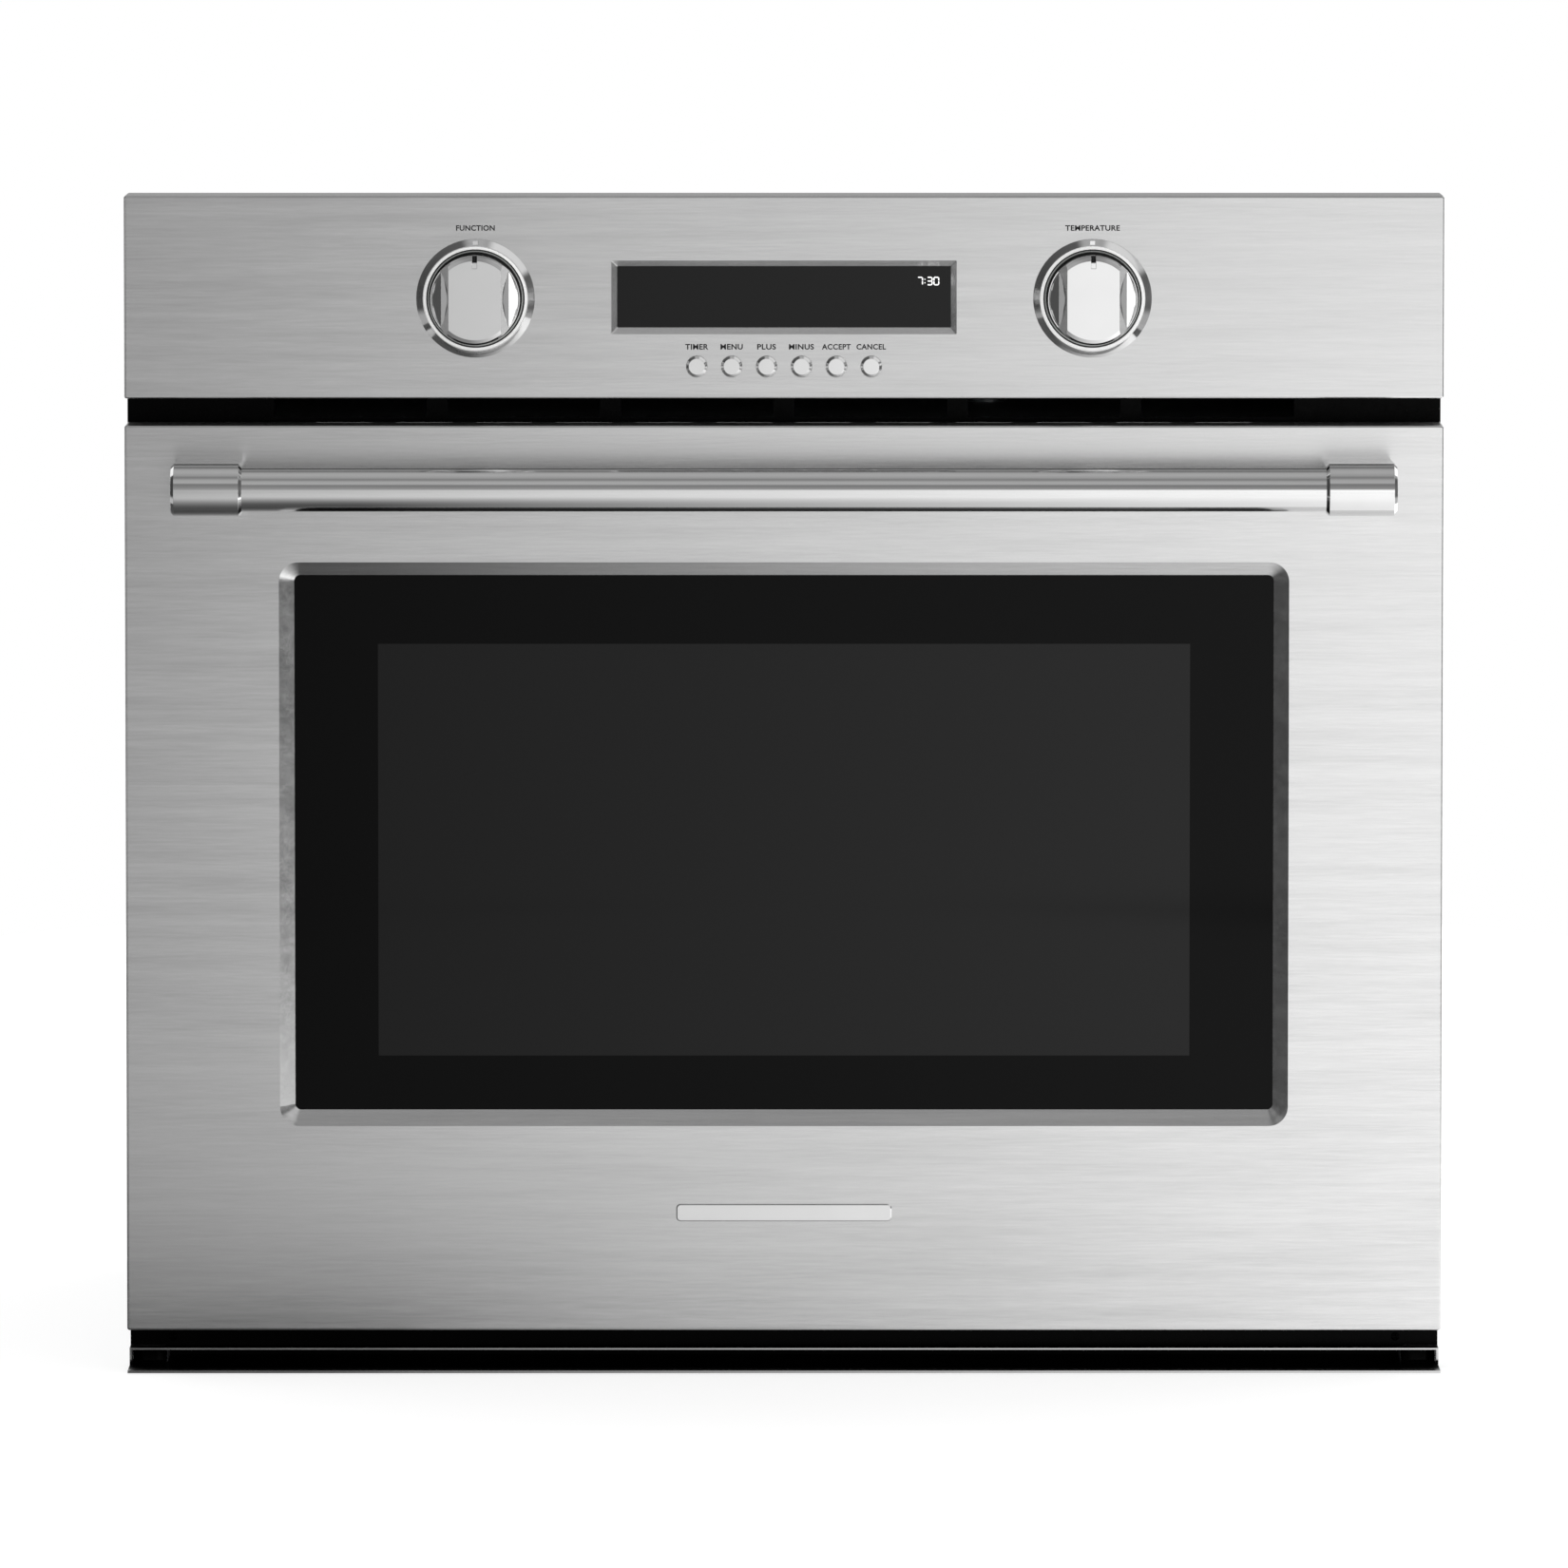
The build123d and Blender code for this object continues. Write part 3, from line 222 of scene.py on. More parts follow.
def trimMetal(name, look):
    # folded steel, bare at its two front edges and satin black inside: a bright line over a dark channel; the
    # black is painted shade, standing in for the dark that the recessed steel faces reflect
    material, tree = startMaterial(name)
    place = addNode(tree, "ShaderNodeTexCoord")
    parts = addNode(tree, "ShaderNodeSeparateXYZ", links={"Vector": place.outputs["Object"]})
    onLip = addNode(tree, "ShaderNodeMapRange", {
        "From Min": look["lipTop"], "From Max": look["lipTop"] + look["step"], "To Min": 1, "To Max": 0},
        {"Value": parts.outputs[2]})
    # the lip's top fades from bare steel to black over 12 mm behind its front edge: a painted dark reflection of
    # the gap above it
    onShelf, lipDarkReflection = [addNode(tree, "ShaderNodeMapRange", {"From Min": start, "From Max": start + fade},
                                 {"Value": parts.outputs[1]}) for start, fade in (look["shelf"], look["lip"])]
    painted = addNode(tree, "ShaderNodeMix", {"data_type": "FLOAT"}, {
        0: onLip.outputs[0], 2: onShelf.outputs[0], 3: lipDarkReflection.outputs[0]})
    grain = stretchedNoise(tree, look["grain"])
    steel = addNode(tree, "ShaderNodeBsdfPrincipled", {"Metallic": 1.0},
                    toneAndGloss(tree, grain, look["steel"]))
    shadeBlack = addNode(tree, "ShaderNodeBsdfPrincipled", {"IOR": 1.12},
                    toneAndGloss(tree, grain, look["shadeBlack"]))
    both = addNode(tree, "ShaderNodeMixShader", links={
        0: painted.outputs[0], 1: steel.outputs[0], 2: shadeBlack.outputs[0]})
    return closeMaterial(material, both)


def glowingPlastic(name, look):
    # opal plastic lit from behind: white, with a little light of its own
    material, tree = startMaterial(name)
    cloud = stretchedNoise(tree, [look["cloud"]] * 3)
    shader = addNode(tree, "ShaderNodeBsdfPrincipled", {
        "IOR": 1.49, "Emission Color": toLinear(look["light"]), "Emission Strength": look["glow"]},
        toneAndGloss(tree, cloud, look))
    return closeMaterial(material, shader)


trimLow, trimHigh = boxOf("lower_trim")
grainWidth = 1.3 * mm  # real brush marks are about 0.2 mm wide; drawn wider so that they show
# grit, dust and fibre sizes are drawn coarser than the real ones too, for the same reason
materials = {
    # stainless sheet brushed along X: pale satin streaks
    "brushed_steel": brushedMetal("brushedStainlessSheet", {
        "grain": (30 * mm, grainWidth, grainWidth), "broad": 6, "smear": (0, 0.35, 1), "anisotropic": 0.5,
        "bump": 0.06, "roughness": (0.19, 0.26), "dark": "#CBCBCB", "light": "#DFDFDF"}),
    # stainless tube, polished after brushing: long soft bands of the room
    "bar": brushedMetal("satinStainlessTube", {
        "grain": (40 * mm, grainWidth, grainWidth), "broad": 6, "smear": (0, 0.35, 1), "anisotropic": 0.2,
        "bump": 0.04, "roughness": (0.09, 0.13), "dark": "#DEDEDE", "light": "#E6E6E6"}),
    # buffed stainless: bright, with crisp reflections
    "polished_steel": polishedMetal("buffedStainless", {
        "patch": 20 * mm, "scratch": (12 * mm, 0.6 * mm, 0.6 * mm), "roughness": (0.05, 0.09),
        "dark": "#DCDCDC", "light": "#E4E4E4", "edge": 0.35 * mm}),
    # the trim's black inside is painted shade for the dark its recessed steel reflects, fading in along the
    # lip's top
    "trim_steel": trimMetal("intakeTrimSteel", {
        "lipTop": trimLow[2] + 4 * mm, "step": 1 * mm, "lip": (trimLow[1] + 1.5 * mm, 12 * mm),
        "shelf": (trimLow[1] + 28.5 * mm, 0.5 * mm), "grain": (40 * mm, 1.2 * mm, 1.2 * mm),
        "steel": {"dark": "#C0C0C0", "light": "#D8D8D8", "roughness": (0.18, 0.3)},
        "shadeBlack": {"dark": "#020202", "light": "#050505", "roughness": (0.25, 0.35)}}),
    "galvanised_steel": galvanisedSheet("galvanisedSheet", {
        "spangle": 9 * mm, "warpCell": 12 * mm, "warp": 0.004, "roughness": (0.38, 0.48),
        "dark": "#A6A9AB", "light": "#BBBEC0"}),
    # the blacks have an IOR below the usual 1.5, which keeps them deep in a bright room
    "black_enamel": firedEnamel("blackEnamel", {
        "peel": 4 * mm, "fleckSpacing": 6 * mm, "fleckSize": 0.02, "ground": "#030303", "fleck": "#0A0A0B",
        "ior": 1.12, "roughness": (0.22, 0.30)}),
    # the cavity's enamel: blue-black with pale flecks
    "cavity_enamel": firedEnamel("cavityEnamel", {
        "peel": 5 * mm, "fleckSpacing": 7 * mm, "fleckSize": 0.16, "ground": "#23262E", "fleck": "#A9AEB8",
        "ior": 1.5, "roughness": (0.16, 0.28)}),
    # tinted float glass: nearly black, with a soft sheen of the room
    "black_glass": floatGlass("tintedFloatGlass", {
        "ior": 1.33, "clear": 0, "patch": 250 * mm, "detail": 1.0, "dark": "#0A0A0A", "light": "#0C0C0C",
        "roughness": (0.02, 0.05)}),
    # black ceramic print on the glass: darker and a little duller than the bare pane
    "frit": floatGlass("blackCeramicFrit", {
        "ior": 1.19, "clear": 0, "patch": 250 * mm, "detail": 1.0, "dark": "#050505", "light": "#070707",
        "roughness": (0.03, 0.06)}),
    # clear heat-resistant pane: faintly green, with a trace of haze
    "clear_glass": floatGlass("heatResistantGlass", {
        "ior": 1.47, "clear": 1.0, "patch": 60 * mm, "detail": 2.0, "dark": "#E6F0EA", "light": "#F4F9F6",
        "roughness": (0.0, 0.04)}),
    # chromed wire: small hard highlights, slightly hazed by heat
    "rack_chrome": polishedMetal("chromedWire", {
        "patch": 15 * mm, "scratch": (10 * mm, 1 * mm, 1 * mm), "roughness": (0.08, 0.16),
        "dark": "#C8C8C8", "light": "#DCDCDC", "edge": 0.2 * mm}),
    # heating element sheath, oxidised brown-grey: dull and uneven
    "element_sheath": fineGrained("oxidisedSheath", {
        "grit": 3 * mm, "dark": "#2A2725", "light": "#4A4542", "roughness": (0.45, 0.6)}),
    # zinc-plated steel: grey, half bright
    "plated_steel": polishedMetal("zincPlatedSteel", {
        "patch": 8 * mm, "scratch": (4 * mm, 1 * mm, 1 * mm), "roughness": (0.22, 0.34),
        "dark": "#A9ABAA", "light": "#C6C8C6", "edge": 0.3 * mm}),
    # extruded aluminium: cool, with faint draw lines
    "aluminium": brushedMetal("extrudedAluminium", {
        "grain": (30 * mm, grainWidth, grainWidth), "broad": 6, "smear": (0, 0.35, 1), "anisotropic": 0.4,
        "bump": 0.08, "roughness": (0.28, 0.38), "dark": "#C4C6C9", "light": "#D2D4D6"}),
    # painted motor can: slate grey, semi-gloss
    "motor_steel": fineGrained("paintedMotorCan", {
        "grit": 2 * mm, "dark": "#3B3E42", "light": "#4A4D51", "roughness": (0.35, 0.5)}),
    # braided glass fibre: soft dark grey
    "seal": spunFibre("braidedGlassFibre", {
        "fibre": (1.5 * mm, 1.5 * mm, 1.5 * mm), "dark": "#2B2B2C", "light": "#55565A",
        "roughness": (0.8, 0.95)}),
    # mineral wool: straw yellow
    "mineral_wool": spunFibre("mineralWool", {
        "fibre": (10 * mm, 2 * mm, 4 * mm), "dark": "#A89A6C", "light": "#D8CDA4", "roughness": (0.8, 0.95)}),
    # black nylon: moulded, satin
    "black_plastic": fineGrained("blackNylon", {
        "grit": 1 * mm, "dark": "#0B0B0C", "light": "#141415", "roughness": (0.35, 0.5)}),
    "circuit_board": circuitBoard("solderMaskBoard", {
        "pitch": 12 * mm, "dust": 4 * mm, "mask": "#0D3B24", "maskLight": "#0F4529", "track": "#8C7A3A",
        "roughness": (0.3, 0.5)}),
    "light_guide": glowingPlastic("opalLightGuide", {
        "cloud": 3 * mm, "dark": "#F0F0EE", "light": "#FFFFFF", "glow": 0.25, "roughness": (0.2, 0.35)}),
    "segments": glowingPlastic("displaySegments", {
        "cloud": 3 * mm, "dark": "#F0F0EE", "light": "#FFFFFF", "glow": 0.9, "roughness": (0.2, 0.35)}),
    # screen-printing ink: flat near-black
    "ink": fineGrained("screenPrintInk", {
        "grit": 0.8 * mm, "dark": "#101113", "light": "#17181A", "roughness": (0.5, 0.6)}),
}
finishOf = {"handle_bar": "bar"}  # nodes whose finish isn't simply their slot's
for name, node in nodes.items():
    node.material_slots[0].material = materials[finishOf.get(name, slotOf[name])]
print("materials:", len(materials))


def meshPiece(name, points, faces, finish, body, smooth=True):
    # points is an (n, 3) array in metres in the shared frame
    mesh = bpy.data.meshes.new(name)
    mesh.from_pydata(points.tolist(), [], faces if isinstance(faces, list) else faces.tolist())
    mesh.polygons.foreach_set("use_smooth", np.full(len(mesh.polygons), smooth))
    mesh.update()
    piece = bpy.data.objects.new(name, mesh)
    bpy.context.scene.collection.objects.link(piece)
    mesh.materials.append(materials[finish])
    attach(piece, body)
    return piece


def gridFaces(rows, columns, closeRows=False, closeColumns=False):
    # quads between neighbours of a rows by columns grid of points, wrapped round where it is closed
    i = np.arange(rows if closeRows else rows - 1)[:, None]
    j = np.arange(columns if closeColumns else columns - 1)[None, :]
    nextI, nextJ = (i + 1) % rows, (j + 1) % columns
    return np.stack([i * columns + j, nextI * columns + j, nextI * columns + nextJ, i * columns + nextJ],
                    axis=-1).reshape(-1, 4)


fasciaLow = boxOf("control_fascia")[0]
frameLow, frameHigh = boxOf("front_frame")

fritBorder = {"sideBand": 53.6 * mm, "bottomBand": 46.6 * mm, "topBand": 55.8 * mm, "thickness": 0.05 * mm,
              "margin": 1.0 * mm}


def makeFrit(look):
    # a flat ring: four corners round the window, each with the four points of a thin rectangular section
    low, high = boxOf("outer_glass")
    m = look["margin"]
    x0, x1 = low[0] + look["sideBand"], high[0] - look["sideBand"]
    z0, z1 = low[2] + look["bottomBand"], high[2] - look["topBand"]
    inner = np.array([(x0, z0), (x1, z0), (x1, z1), (x0, z1)])
    outer = np.array([(low[0] + m, low[2] + m), (high[0] - m, low[2] + m), (high[0] - m, high[2] - m),
                      (low[0] + m, high[2] - m)])
    back, front = low[1], low[1] - look["thickness"]
    section = [(inner, front), (outer, front), (outer, back), (inner, back)]
    points = np.stack([np.column_stack([ring[:, 0], np.full(4, y), ring[:, 1]]) for ring, y in section], axis=1)
    meshPiece("fritBorder", points.reshape(-1, 3), gridFaces(4, 4, True, True), "frit", "door",
              smooth=False)


makeFrit(fritBorder)
print("frit border printed")

labels = {
    "size": 3.2 * mm, "proud": 0.04 * mm, "thickness": 0.03 * mm, "weight": 0.028, "spacing": 1.06,
    "overKnob": 14.6 * mm, "overButton": 4.0 * mm,
    "widths": {"function_knob": 22.2 * mm, "temperature_knob": 31.3 * mm, "timer_button": 13.2 * mm,
               "menu_button": 12.8 * mm, "plus_button": 10.8 * mm, "minus_button": 14.4 * mm,
               "accept_button": 16.6 * mm, "cancel_button": 16.9 * mm},
}


def makeLabel(control, look):
    # the control's name in Blender's own font, made a mesh, with each axis then stretched evenly to the
    # label's width, cap height and thickness
    word = control.split("_")[0].upper()
    curve = bpy.data.curves.new(word, "FONT")
    curve.body, curve.extrude, curve.offset, curve.resolution_u = word, 0.02, look["weight"], 4
    curve.space_character = look["spacing"]
    draft = bpy.data.objects.new(word, curve)
    bpy.context.scene.collection.objects.link(draft)
    bpy.context.view_layer.update()
    mesh = bpy.data.meshes.new_from_object(draft.evaluated_get(bpy.context.evaluated_depsgraph_get()))
    flat = np.zeros(len(mesh.vertices) * 3)
    mesh.vertices.foreach_get("co", flat)
    flat = flat.reshape(-1, 3)
    faces = [list(face.vertices) for face in mesh.polygons]
    bpy.data.objects.remove(draft)
    unit = (flat - flat.min(0)) / (flat.max(0) - flat.min(0))
    low, high = boxOf(control)
    middleZ = high[2] + (look["overKnob"] if control.endswith("knob") else look["overButton"])
    points = np.column_stack([
        (low[0] + high[0]) / 2 + (unit[:, 0] - 0.5) * look["widths"][control],
        fasciaLow[1] - look["proud"] + look["thickness"] * (1 - unit[:, 2]),
        middleZ + (unit[:, 1] - 0.5) * look["size"]])
    meshPiece("label" + word.title(), points, faces, "ink", "chassis", smooth=False)


for control in labels["widths"]:
    makeLabel(control, labels)
print("labels printed:", len(labels["widths"]))

clock = {"text": "7:30", "fromRight": 9.8 * mm, "fromTop": 11.15 * mm, "height": 4.3 * mm, "digit": 2.7 * mm,
         "gap": 1.1 * mm, "stroke": 0.62 * mm, "tip": 0.6, "proud": 0.06 * mm, "thickness": 0.03 * mm,
         "seam": 0.1 * mm, "colon": ((-0.7, -0.25), (0.25, 0.7))}
segmentsOf = {"0": "abcdef", "3": "abcdg", "7": "abc"}
# each segment runs between two points in units of the digit's width and half height
segmentEnds = {"a": ((0, 2), (1, 2)), "b": ((1, 2), (1, 1)), "c": ((1, 1), (1, 0)), "d": ((0, 0), (1, 0)),
               "e": ((0, 1), (0, 0)), "f": ((0, 2), (0, 1)), "g": ((0, 1), (1, 1))}


def makeClock(look):
    # a segment display: each stroke is a flat bar from start to end, half its width to each side and pointed at
    # both ends; the colon is two short strokes
    low, high = boxOf("display_window")
    right, middle, half = high[0] - look["fromRight"], high[2] - look["fromTop"], look["height"] / 2
    strokes = []
    for character in reversed(look["text"]):
        if character == ":":
            x = right - look["stroke"] / 2
            strokes += [((x, middle + start * half), (x, middle + end * half)) for start, end in look["colon"]]
            right -= look["stroke"] + look["gap"]
            continue
        left = right - look["digit"]
        strokes += [[(left + u * look["digit"], middle - half + v * half) for u, v in segmentEnds[key]]
                    for key in segmentsOf[character]]
        right = left - look["gap"]
    start, end = np.array(strokes).transpose(1, 0, 2)
    along = (end - start) / np.linalg.norm(end - start, axis=1, keepdims=True)
    side = np.column_stack([-along[:, 1], along[:, 0]]) * look["stroke"] / 2
    tip, seam = along * look["stroke"] * look["tip"], along * look["seam"]
    outline = np.stack([start + seam, start + tip - side, end - tip - side, end - seam, end - tip + side,
                        start + tip + side], axis=1)
    depth = low[1] - look["proud"] + np.array([0, look["thickness"]])[None, :, None]
    x, y, z = np.broadcast_arrays(outline[:, None, :, 0], depth, outline[:, None, :, 1])
    prism = [[0, 1, 2, 3, 4, 5], [11, 10, 9, 8, 7, 6]]  # front and back, then the six edges
    prism += [[k, 6 + k, 6 + (k + 1) % 6, (k + 1) % 6] for k in range(6)]
    faces = [[12 * stroke + corner for corner in face] for stroke in range(len(strokes)) for face in prism]
    meshPiece("clockDigits", np.stack([x, y, z], axis=-1).reshape(-1, 3), faces, "segments", "chassis",
              smooth=False)


makeClock(clock)
print("clock drawn")

screws = {"radius": 3.6 * mm, "height": 1.9 * mm, "recess": 1.1 * mm, "slotHalf": 0.55 * mm,
          "slotReach": 2.2 * mm, "rings": 14, "around": 40, "inset": 8 * mm, "perRearSide": 6, "perTopSide": 5}
trimScrews = {**screws, "radius": 2.4 * mm, "height": 1.2 * mm, "slotReach": 1.5 * mm, "slotHalf": 0.4 * mm,
              "fromSide": 24.5 * mm, "fromBottom": 5 * mm}


def makeScrews(name, places, outward, look, finish="plated_steel"):
    # pan head: height times the square root of 1 - r squared, less a cross cut whose depth fades to its ends
    r = np.linspace(0, 1, look["rings"])[:, None] * np.ones(look["around"])
    angle = np.linspace(0, 2 * np.pi, look["around"], endpoint=False)[None, :] * np.ones((look["rings"], 1))
    u, v = r * look["radius"] * np.cos(angle), r * look["radius"] * np.sin(angle)
    nearer, further = np.minimum(abs(u), abs(v)), np.maximum(abs(u), abs(v))
    cut = (nearer < look["slotHalf"]) & (further < look["slotReach"])
    height = look["height"] * np.sqrt(np.clip(1 - r ** 2, 0, 1))
    height = height - cut * look["recess"] * (1 - further / (1.3 * look["slotReach"]))
    outward = np.array(outward, float)
    sideways = np.cross(outward, (0, 0, 1) if abs(outward[2]) < 0.5 else (1, 0, 0))
    upright = np.cross(sideways, outward)
    head = (u[..., None] * sideways + v[..., None] * upright + height[..., None] * outward).reshape(-1, 3)
    faces = gridFaces(look["rings"], look["around"], closeColumns=True)
    allPoints = (np.array(places)[:, None, :] + head[None]).reshape(-1, 3)
    allFaces = (faces[None] + (np.arange(len(places)) * len(head))[:, None, None]).reshape(-1, 4)
    piece = meshPiece(name, allPoints, allFaces, finish, "chassis")
    weld = piece.modifiers.new("weld", "WELD")
    weld.merge_threshold = 0.01 * mm


rearLow, rearHigh = boxOf("rear_cover")
topLow, topHigh = boxOf("top_cover")
inset = screws["inset"]
rearX = np.linspace(rearLow[0] + inset, rearHigh[0] - inset, screws["perRearSide"])
rearZ = np.linspace(rearLow[2] + inset, rearHigh[2] - inset, screws["perRearSide"])
topY = np.linspace(topLow[1] + inset, topHigh[1] - inset, screws["perTopSide"])
rearPlaces = [(x, rearHigh[1], z) for x in rearX for z in rearZ[[0, -1]]]
rearPlaces += [(x, rearHigh[1], z) for x in rearX[[0, -1]] for z in rearZ[1:-1]]
topPlaces = [(x, y, topHigh[2]) for x in (topLow[0] + inset, topHigh[0] - inset) for y in topY]
trimPlaces = [(x, frameLow[1], frameLow[2] + trimScrews["fromBottom"])
              for x in (frameLow[0] + trimScrews["fromSide"], frameHigh[0] - trimScrews["fromSide"])]
makeScrews("rearCoverScrews", rearPlaces, (0, 1, 0), screws)
makeScrews("topCoverScrews", topPlaces, (0, 0, 1), screws)
makeScrews("trimScrews", trimPlaces, (0, -1, 0), trimScrews, "black_enamel")
print("screws set:", len(rearPlaces) + len(topPlaces) + len(trimPlaces))

cornerShield = {"reach": 4 * mm, "bend": 1.2 * mm, "clearance": 0.3 * mm, "setBack": 1.8 * mm, "wall": 0.6 * mm,
                "lipSheet": 1.5 * mm, "shelfDrop": 1.1 * mm, "endInset": 1.3 * mm, "bendSteps": 7, "columns": 4}


def makeCornerShields(look):
    # a channel section carried along X: two short flanges joined to a tall web by quarter-circle bends
    z0 = trimLow[2] + look["lipSheet"] + look["clearance"]
    z1 = frameLow[2] - look["shelfDrop"] - look["clearance"]
    r, back, count = look["bend"], -look["setBack"], look["columns"]
    t = np.linspace(0, np.pi / 2, look["bendSteps"])
    lower = np.column_stack([back - r + r * np.sin(t), z0 + r - r * np.cos(t)])
    upper = np.column_stack([back - r + r * np.cos(t), z1 - r + r * np.sin(t)])
    section = np.vstack([[[back - look["reach"], z0]], lower, upper, [[back - look["reach"], z1]]])
    faces = gridFaces(count, len(section))
    for side, name in ((-1, "cornerShieldLeft"), (1, "cornerShieldRight")):
        x = side * np.linspace(boxOf("base_pan")[1][0], trimHigh[0] - look["endInset"], count)
        points = np.column_stack([np.repeat(x, len(section)), np.tile(section, (count, 1))])
        piece = meshPiece(name, points, faces if side > 0 else faces[:, ::-1], "black_enamel", "chassis")
        wall = piece.modifiers.new("wall", "SOLIDIFY")
        wall.thickness, wall.offset = look["wall"], 0


makeCornerShields(cornerShield)
print("corner shields fitted")

gasket = {"width": 7.0 * mm, "corner": 24.5 * mm, "pitch": 5.0 * mm, "lump": 0.22 * mm, "stepsPerPitch": 7,
          "around": 20}


def makeGasket(look):
    # a rounded rectangle walked at even steps; the section is a squashed circle, raised where two helices cross
    low, high = boxOf("door_gasket")
    width, depth, r = look["width"], high[1] - low[1], look["corner"]
    halfX, halfZ = (high[0] - low[0] - width) / 2, (high[2] - low[2] - width) / 2
    middle = (low + high) / 2
    straightX, straightZ, bend = 2 * (halfX - r), 2 * (halfZ - r), np.pi / 2 * r
    lengths = np.array([straightX, bend, straightZ, bend] * 2)
    total = lengths.sum()
    steps = int(round(total / look["pitch"])) * look["stepsPerPitch"]
    s = np.arange(steps) / steps * total
    ends = np.cumsum(lengths)
    leg = np.searchsorted(ends, s, side="right")
    inLeg = s - (ends - lengths)[leg]
    quarter = leg // 2
    cornerX = np.array([1, 1, -1, -1])[quarter] * (halfX - r)
    cornerZ = np.array([-1, 1, 1, -1])[quarter] * (halfZ - r)
    turn = np.where(leg % 2 == 1, inLeg / r, 0) + quarter * np.pi / 2 - np.pi / 2
    outX, outZ = np.cos(turn), np.sin(turn)
    back = np.where(leg % 2 == 0, lengths[leg] - inLeg, 0)
    x = middle[0] + cornerX + r * outX + back * outZ
    z = middle[2] + cornerZ + r * outZ - back * outX
    angle = np.arange(look["around"]) / look["around"] * 2 * np.pi
    wave = 2 * np.pi * s[:, None] / look["pitch"]
    lump = look["lump"] * np.cos(wave + 3 * angle) * np.cos(wave - 3 * angle)
    across = (width / 2 - look["lump"] + lump) * np.cos(angle)
    deep = (depth / 2 - look["lump"] + lump) * np.sin(angle)
    points = np.stack([x[:, None] + across * outX[:, None], middle[1] + deep,
                       z[:, None] + across * outZ[:, None]], axis=-1)
    piece = meshPiece("gasketBraid", points.reshape(-1, 3), gridFaces(steps, look["around"], True, True),
                      "seal", "chassis")
    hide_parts("door_gasket")


makeGasket(gasket)
print("gasket braided")

pointer = {"from": 21.6 * mm, "to": 25.5 * mm, "width": 2.7 * mm, "floor": 4.8 * mm, "crown": 0.9 * mm,
           "across": 9, "along": 12}
skirt = {"radius": 26.9 * mm, "proud": 2.6 * mm, "halfWidth": 0.55 * mm, "halfDepth": 0.6 * mm, "around": 96,
         "section": 16}
shoulder = {"rim": 25.2 * mm, "grip": 19.25 * mm, "depth": 14.45 * mm, "rise": 1.45 * mm, "steps": 33,
            "reach": 0.999,
            # the wedge's corners: share of the way from grip to rim, and whether each is on top or at the foot
            "shares": (0, 0, 0.25, 0.5, 0.75, 1.0), "lifts": (0, 1, 1, 1, 1, 0)}


def makePointer(dial, x, front, z, look):
    # a bead in the bottom of the knob's notch: height is the crown times the square root of 1 - u squared
    u = np.linspace(-1, 1, look["across"])[:, None] * np.ones(look["along"])
    v = np.linspace(look["from"], look["to"], look["along"])[None, :] * np.ones((look["across"], 1))
    crown = look["crown"] * np.sqrt(np.clip(1 - u ** 2, 0, 1))
    bead = np.stack([x + u * look["width"] / 2, front + look["floor"] - crown, z + v], axis=-1)
    meshPiece(dial + "Pointer", bead.reshape(-1, 3), gridFaces(look["across"], look["along"]), "ink",
              dial + "_dial")


def makeSkirt(dial, x, z, look):
    # a ring lying in the well: an ellipse of the two half sizes swept round the knob's axis
    a = np.linspace(0, 2 * np.pi, look["around"], endpoint=False)[:, None] * np.ones(look["section"])
    t = np.linspace(0, 2 * np.pi, look["section"], endpoint=False)[None, :] * np.ones((look["around"], 1))
    r = look["radius"] + look["halfWidth"] * np.cos(t)
    depth = fasciaLow[1] - look["proud"] + look["halfDepth"] * np.sin(t)
    ring = np.stack([x + r * np.cos(a), depth, z + r * np.sin(a)], axis=-1)
    meshPiece(dial + "Skirt", ring.reshape(-1, 3), gridFaces(look["around"], look["section"], True, True),
              "plated_steel", dial + "_dial")


def makeShoulders(dial, x, front, z, look):
    # a wedge on each side of the grip: x runs from the grip to the rim's circle, the root of rim squared less z
    # squared, and the height falls in a straight line from the rise at the grip to nothing at the rim
    reach = math.sqrt(look["rim"] ** 2 - look["grip"] ** 2) * look["reach"]
    along = np.linspace(-reach, reach, look["steps"])[:, None]
    share, lifted = np.array([look["shares"], look["lifts"]])[:, None, :]
    across = look["grip"] + share * (np.sqrt(look["rim"] ** 2 - along ** 2) - look["grip"])
    height = look["rise"] * (1 - (across - look["grip"]) / (look["rim"] - look["grip"])) * lifted
    faces = gridFaces(look["steps"], len(look["shares"]), closeColumns=True)
    for side, word in ((-1, "Left"), (1, "Right")):
        points = np.stack([x + side * across, front + look["depth"] - height, z + along + 0 * across], axis=-1)
        meshPiece(dial + "Shoulder" + word, points.reshape(-1, 3), faces[:, ::-1] if side > 0 else faces,
                  "polished_steel", dial + "_dial", smooth=False)


knobPlaces = {}
for dial in ("function", "temperature"):
    low, high = boxOf(dial + "_knob")
    knobPlaces[dial] = (low[0] + high[0]) / 2, low[1], (low[2] + high[2]) / 2
    makePointer(dial, *knobPlaces[dial], pointer)
    makeSkirt(dial, knobPlaces[dial][0], knobPlaces[dial][2], skirt)
for dial, place in knobPlaces.items():
    makeShoulders(dial, *place, shoulder)
print("knobs finished")


def sceneCard(name, points, faces, visible):
    # a surface of the studio, not part of the oven
    mesh = bpy.data.meshes.new(name)
    mesh.from_pydata(points.tolist(), [], faces.tolist())
    card = bpy.data.objects.new(name, mesh)
    bpy.context.scene.collection.objects.link(card)
    card.visible_camera = visible
    card.visible_shadow = visible
    return card


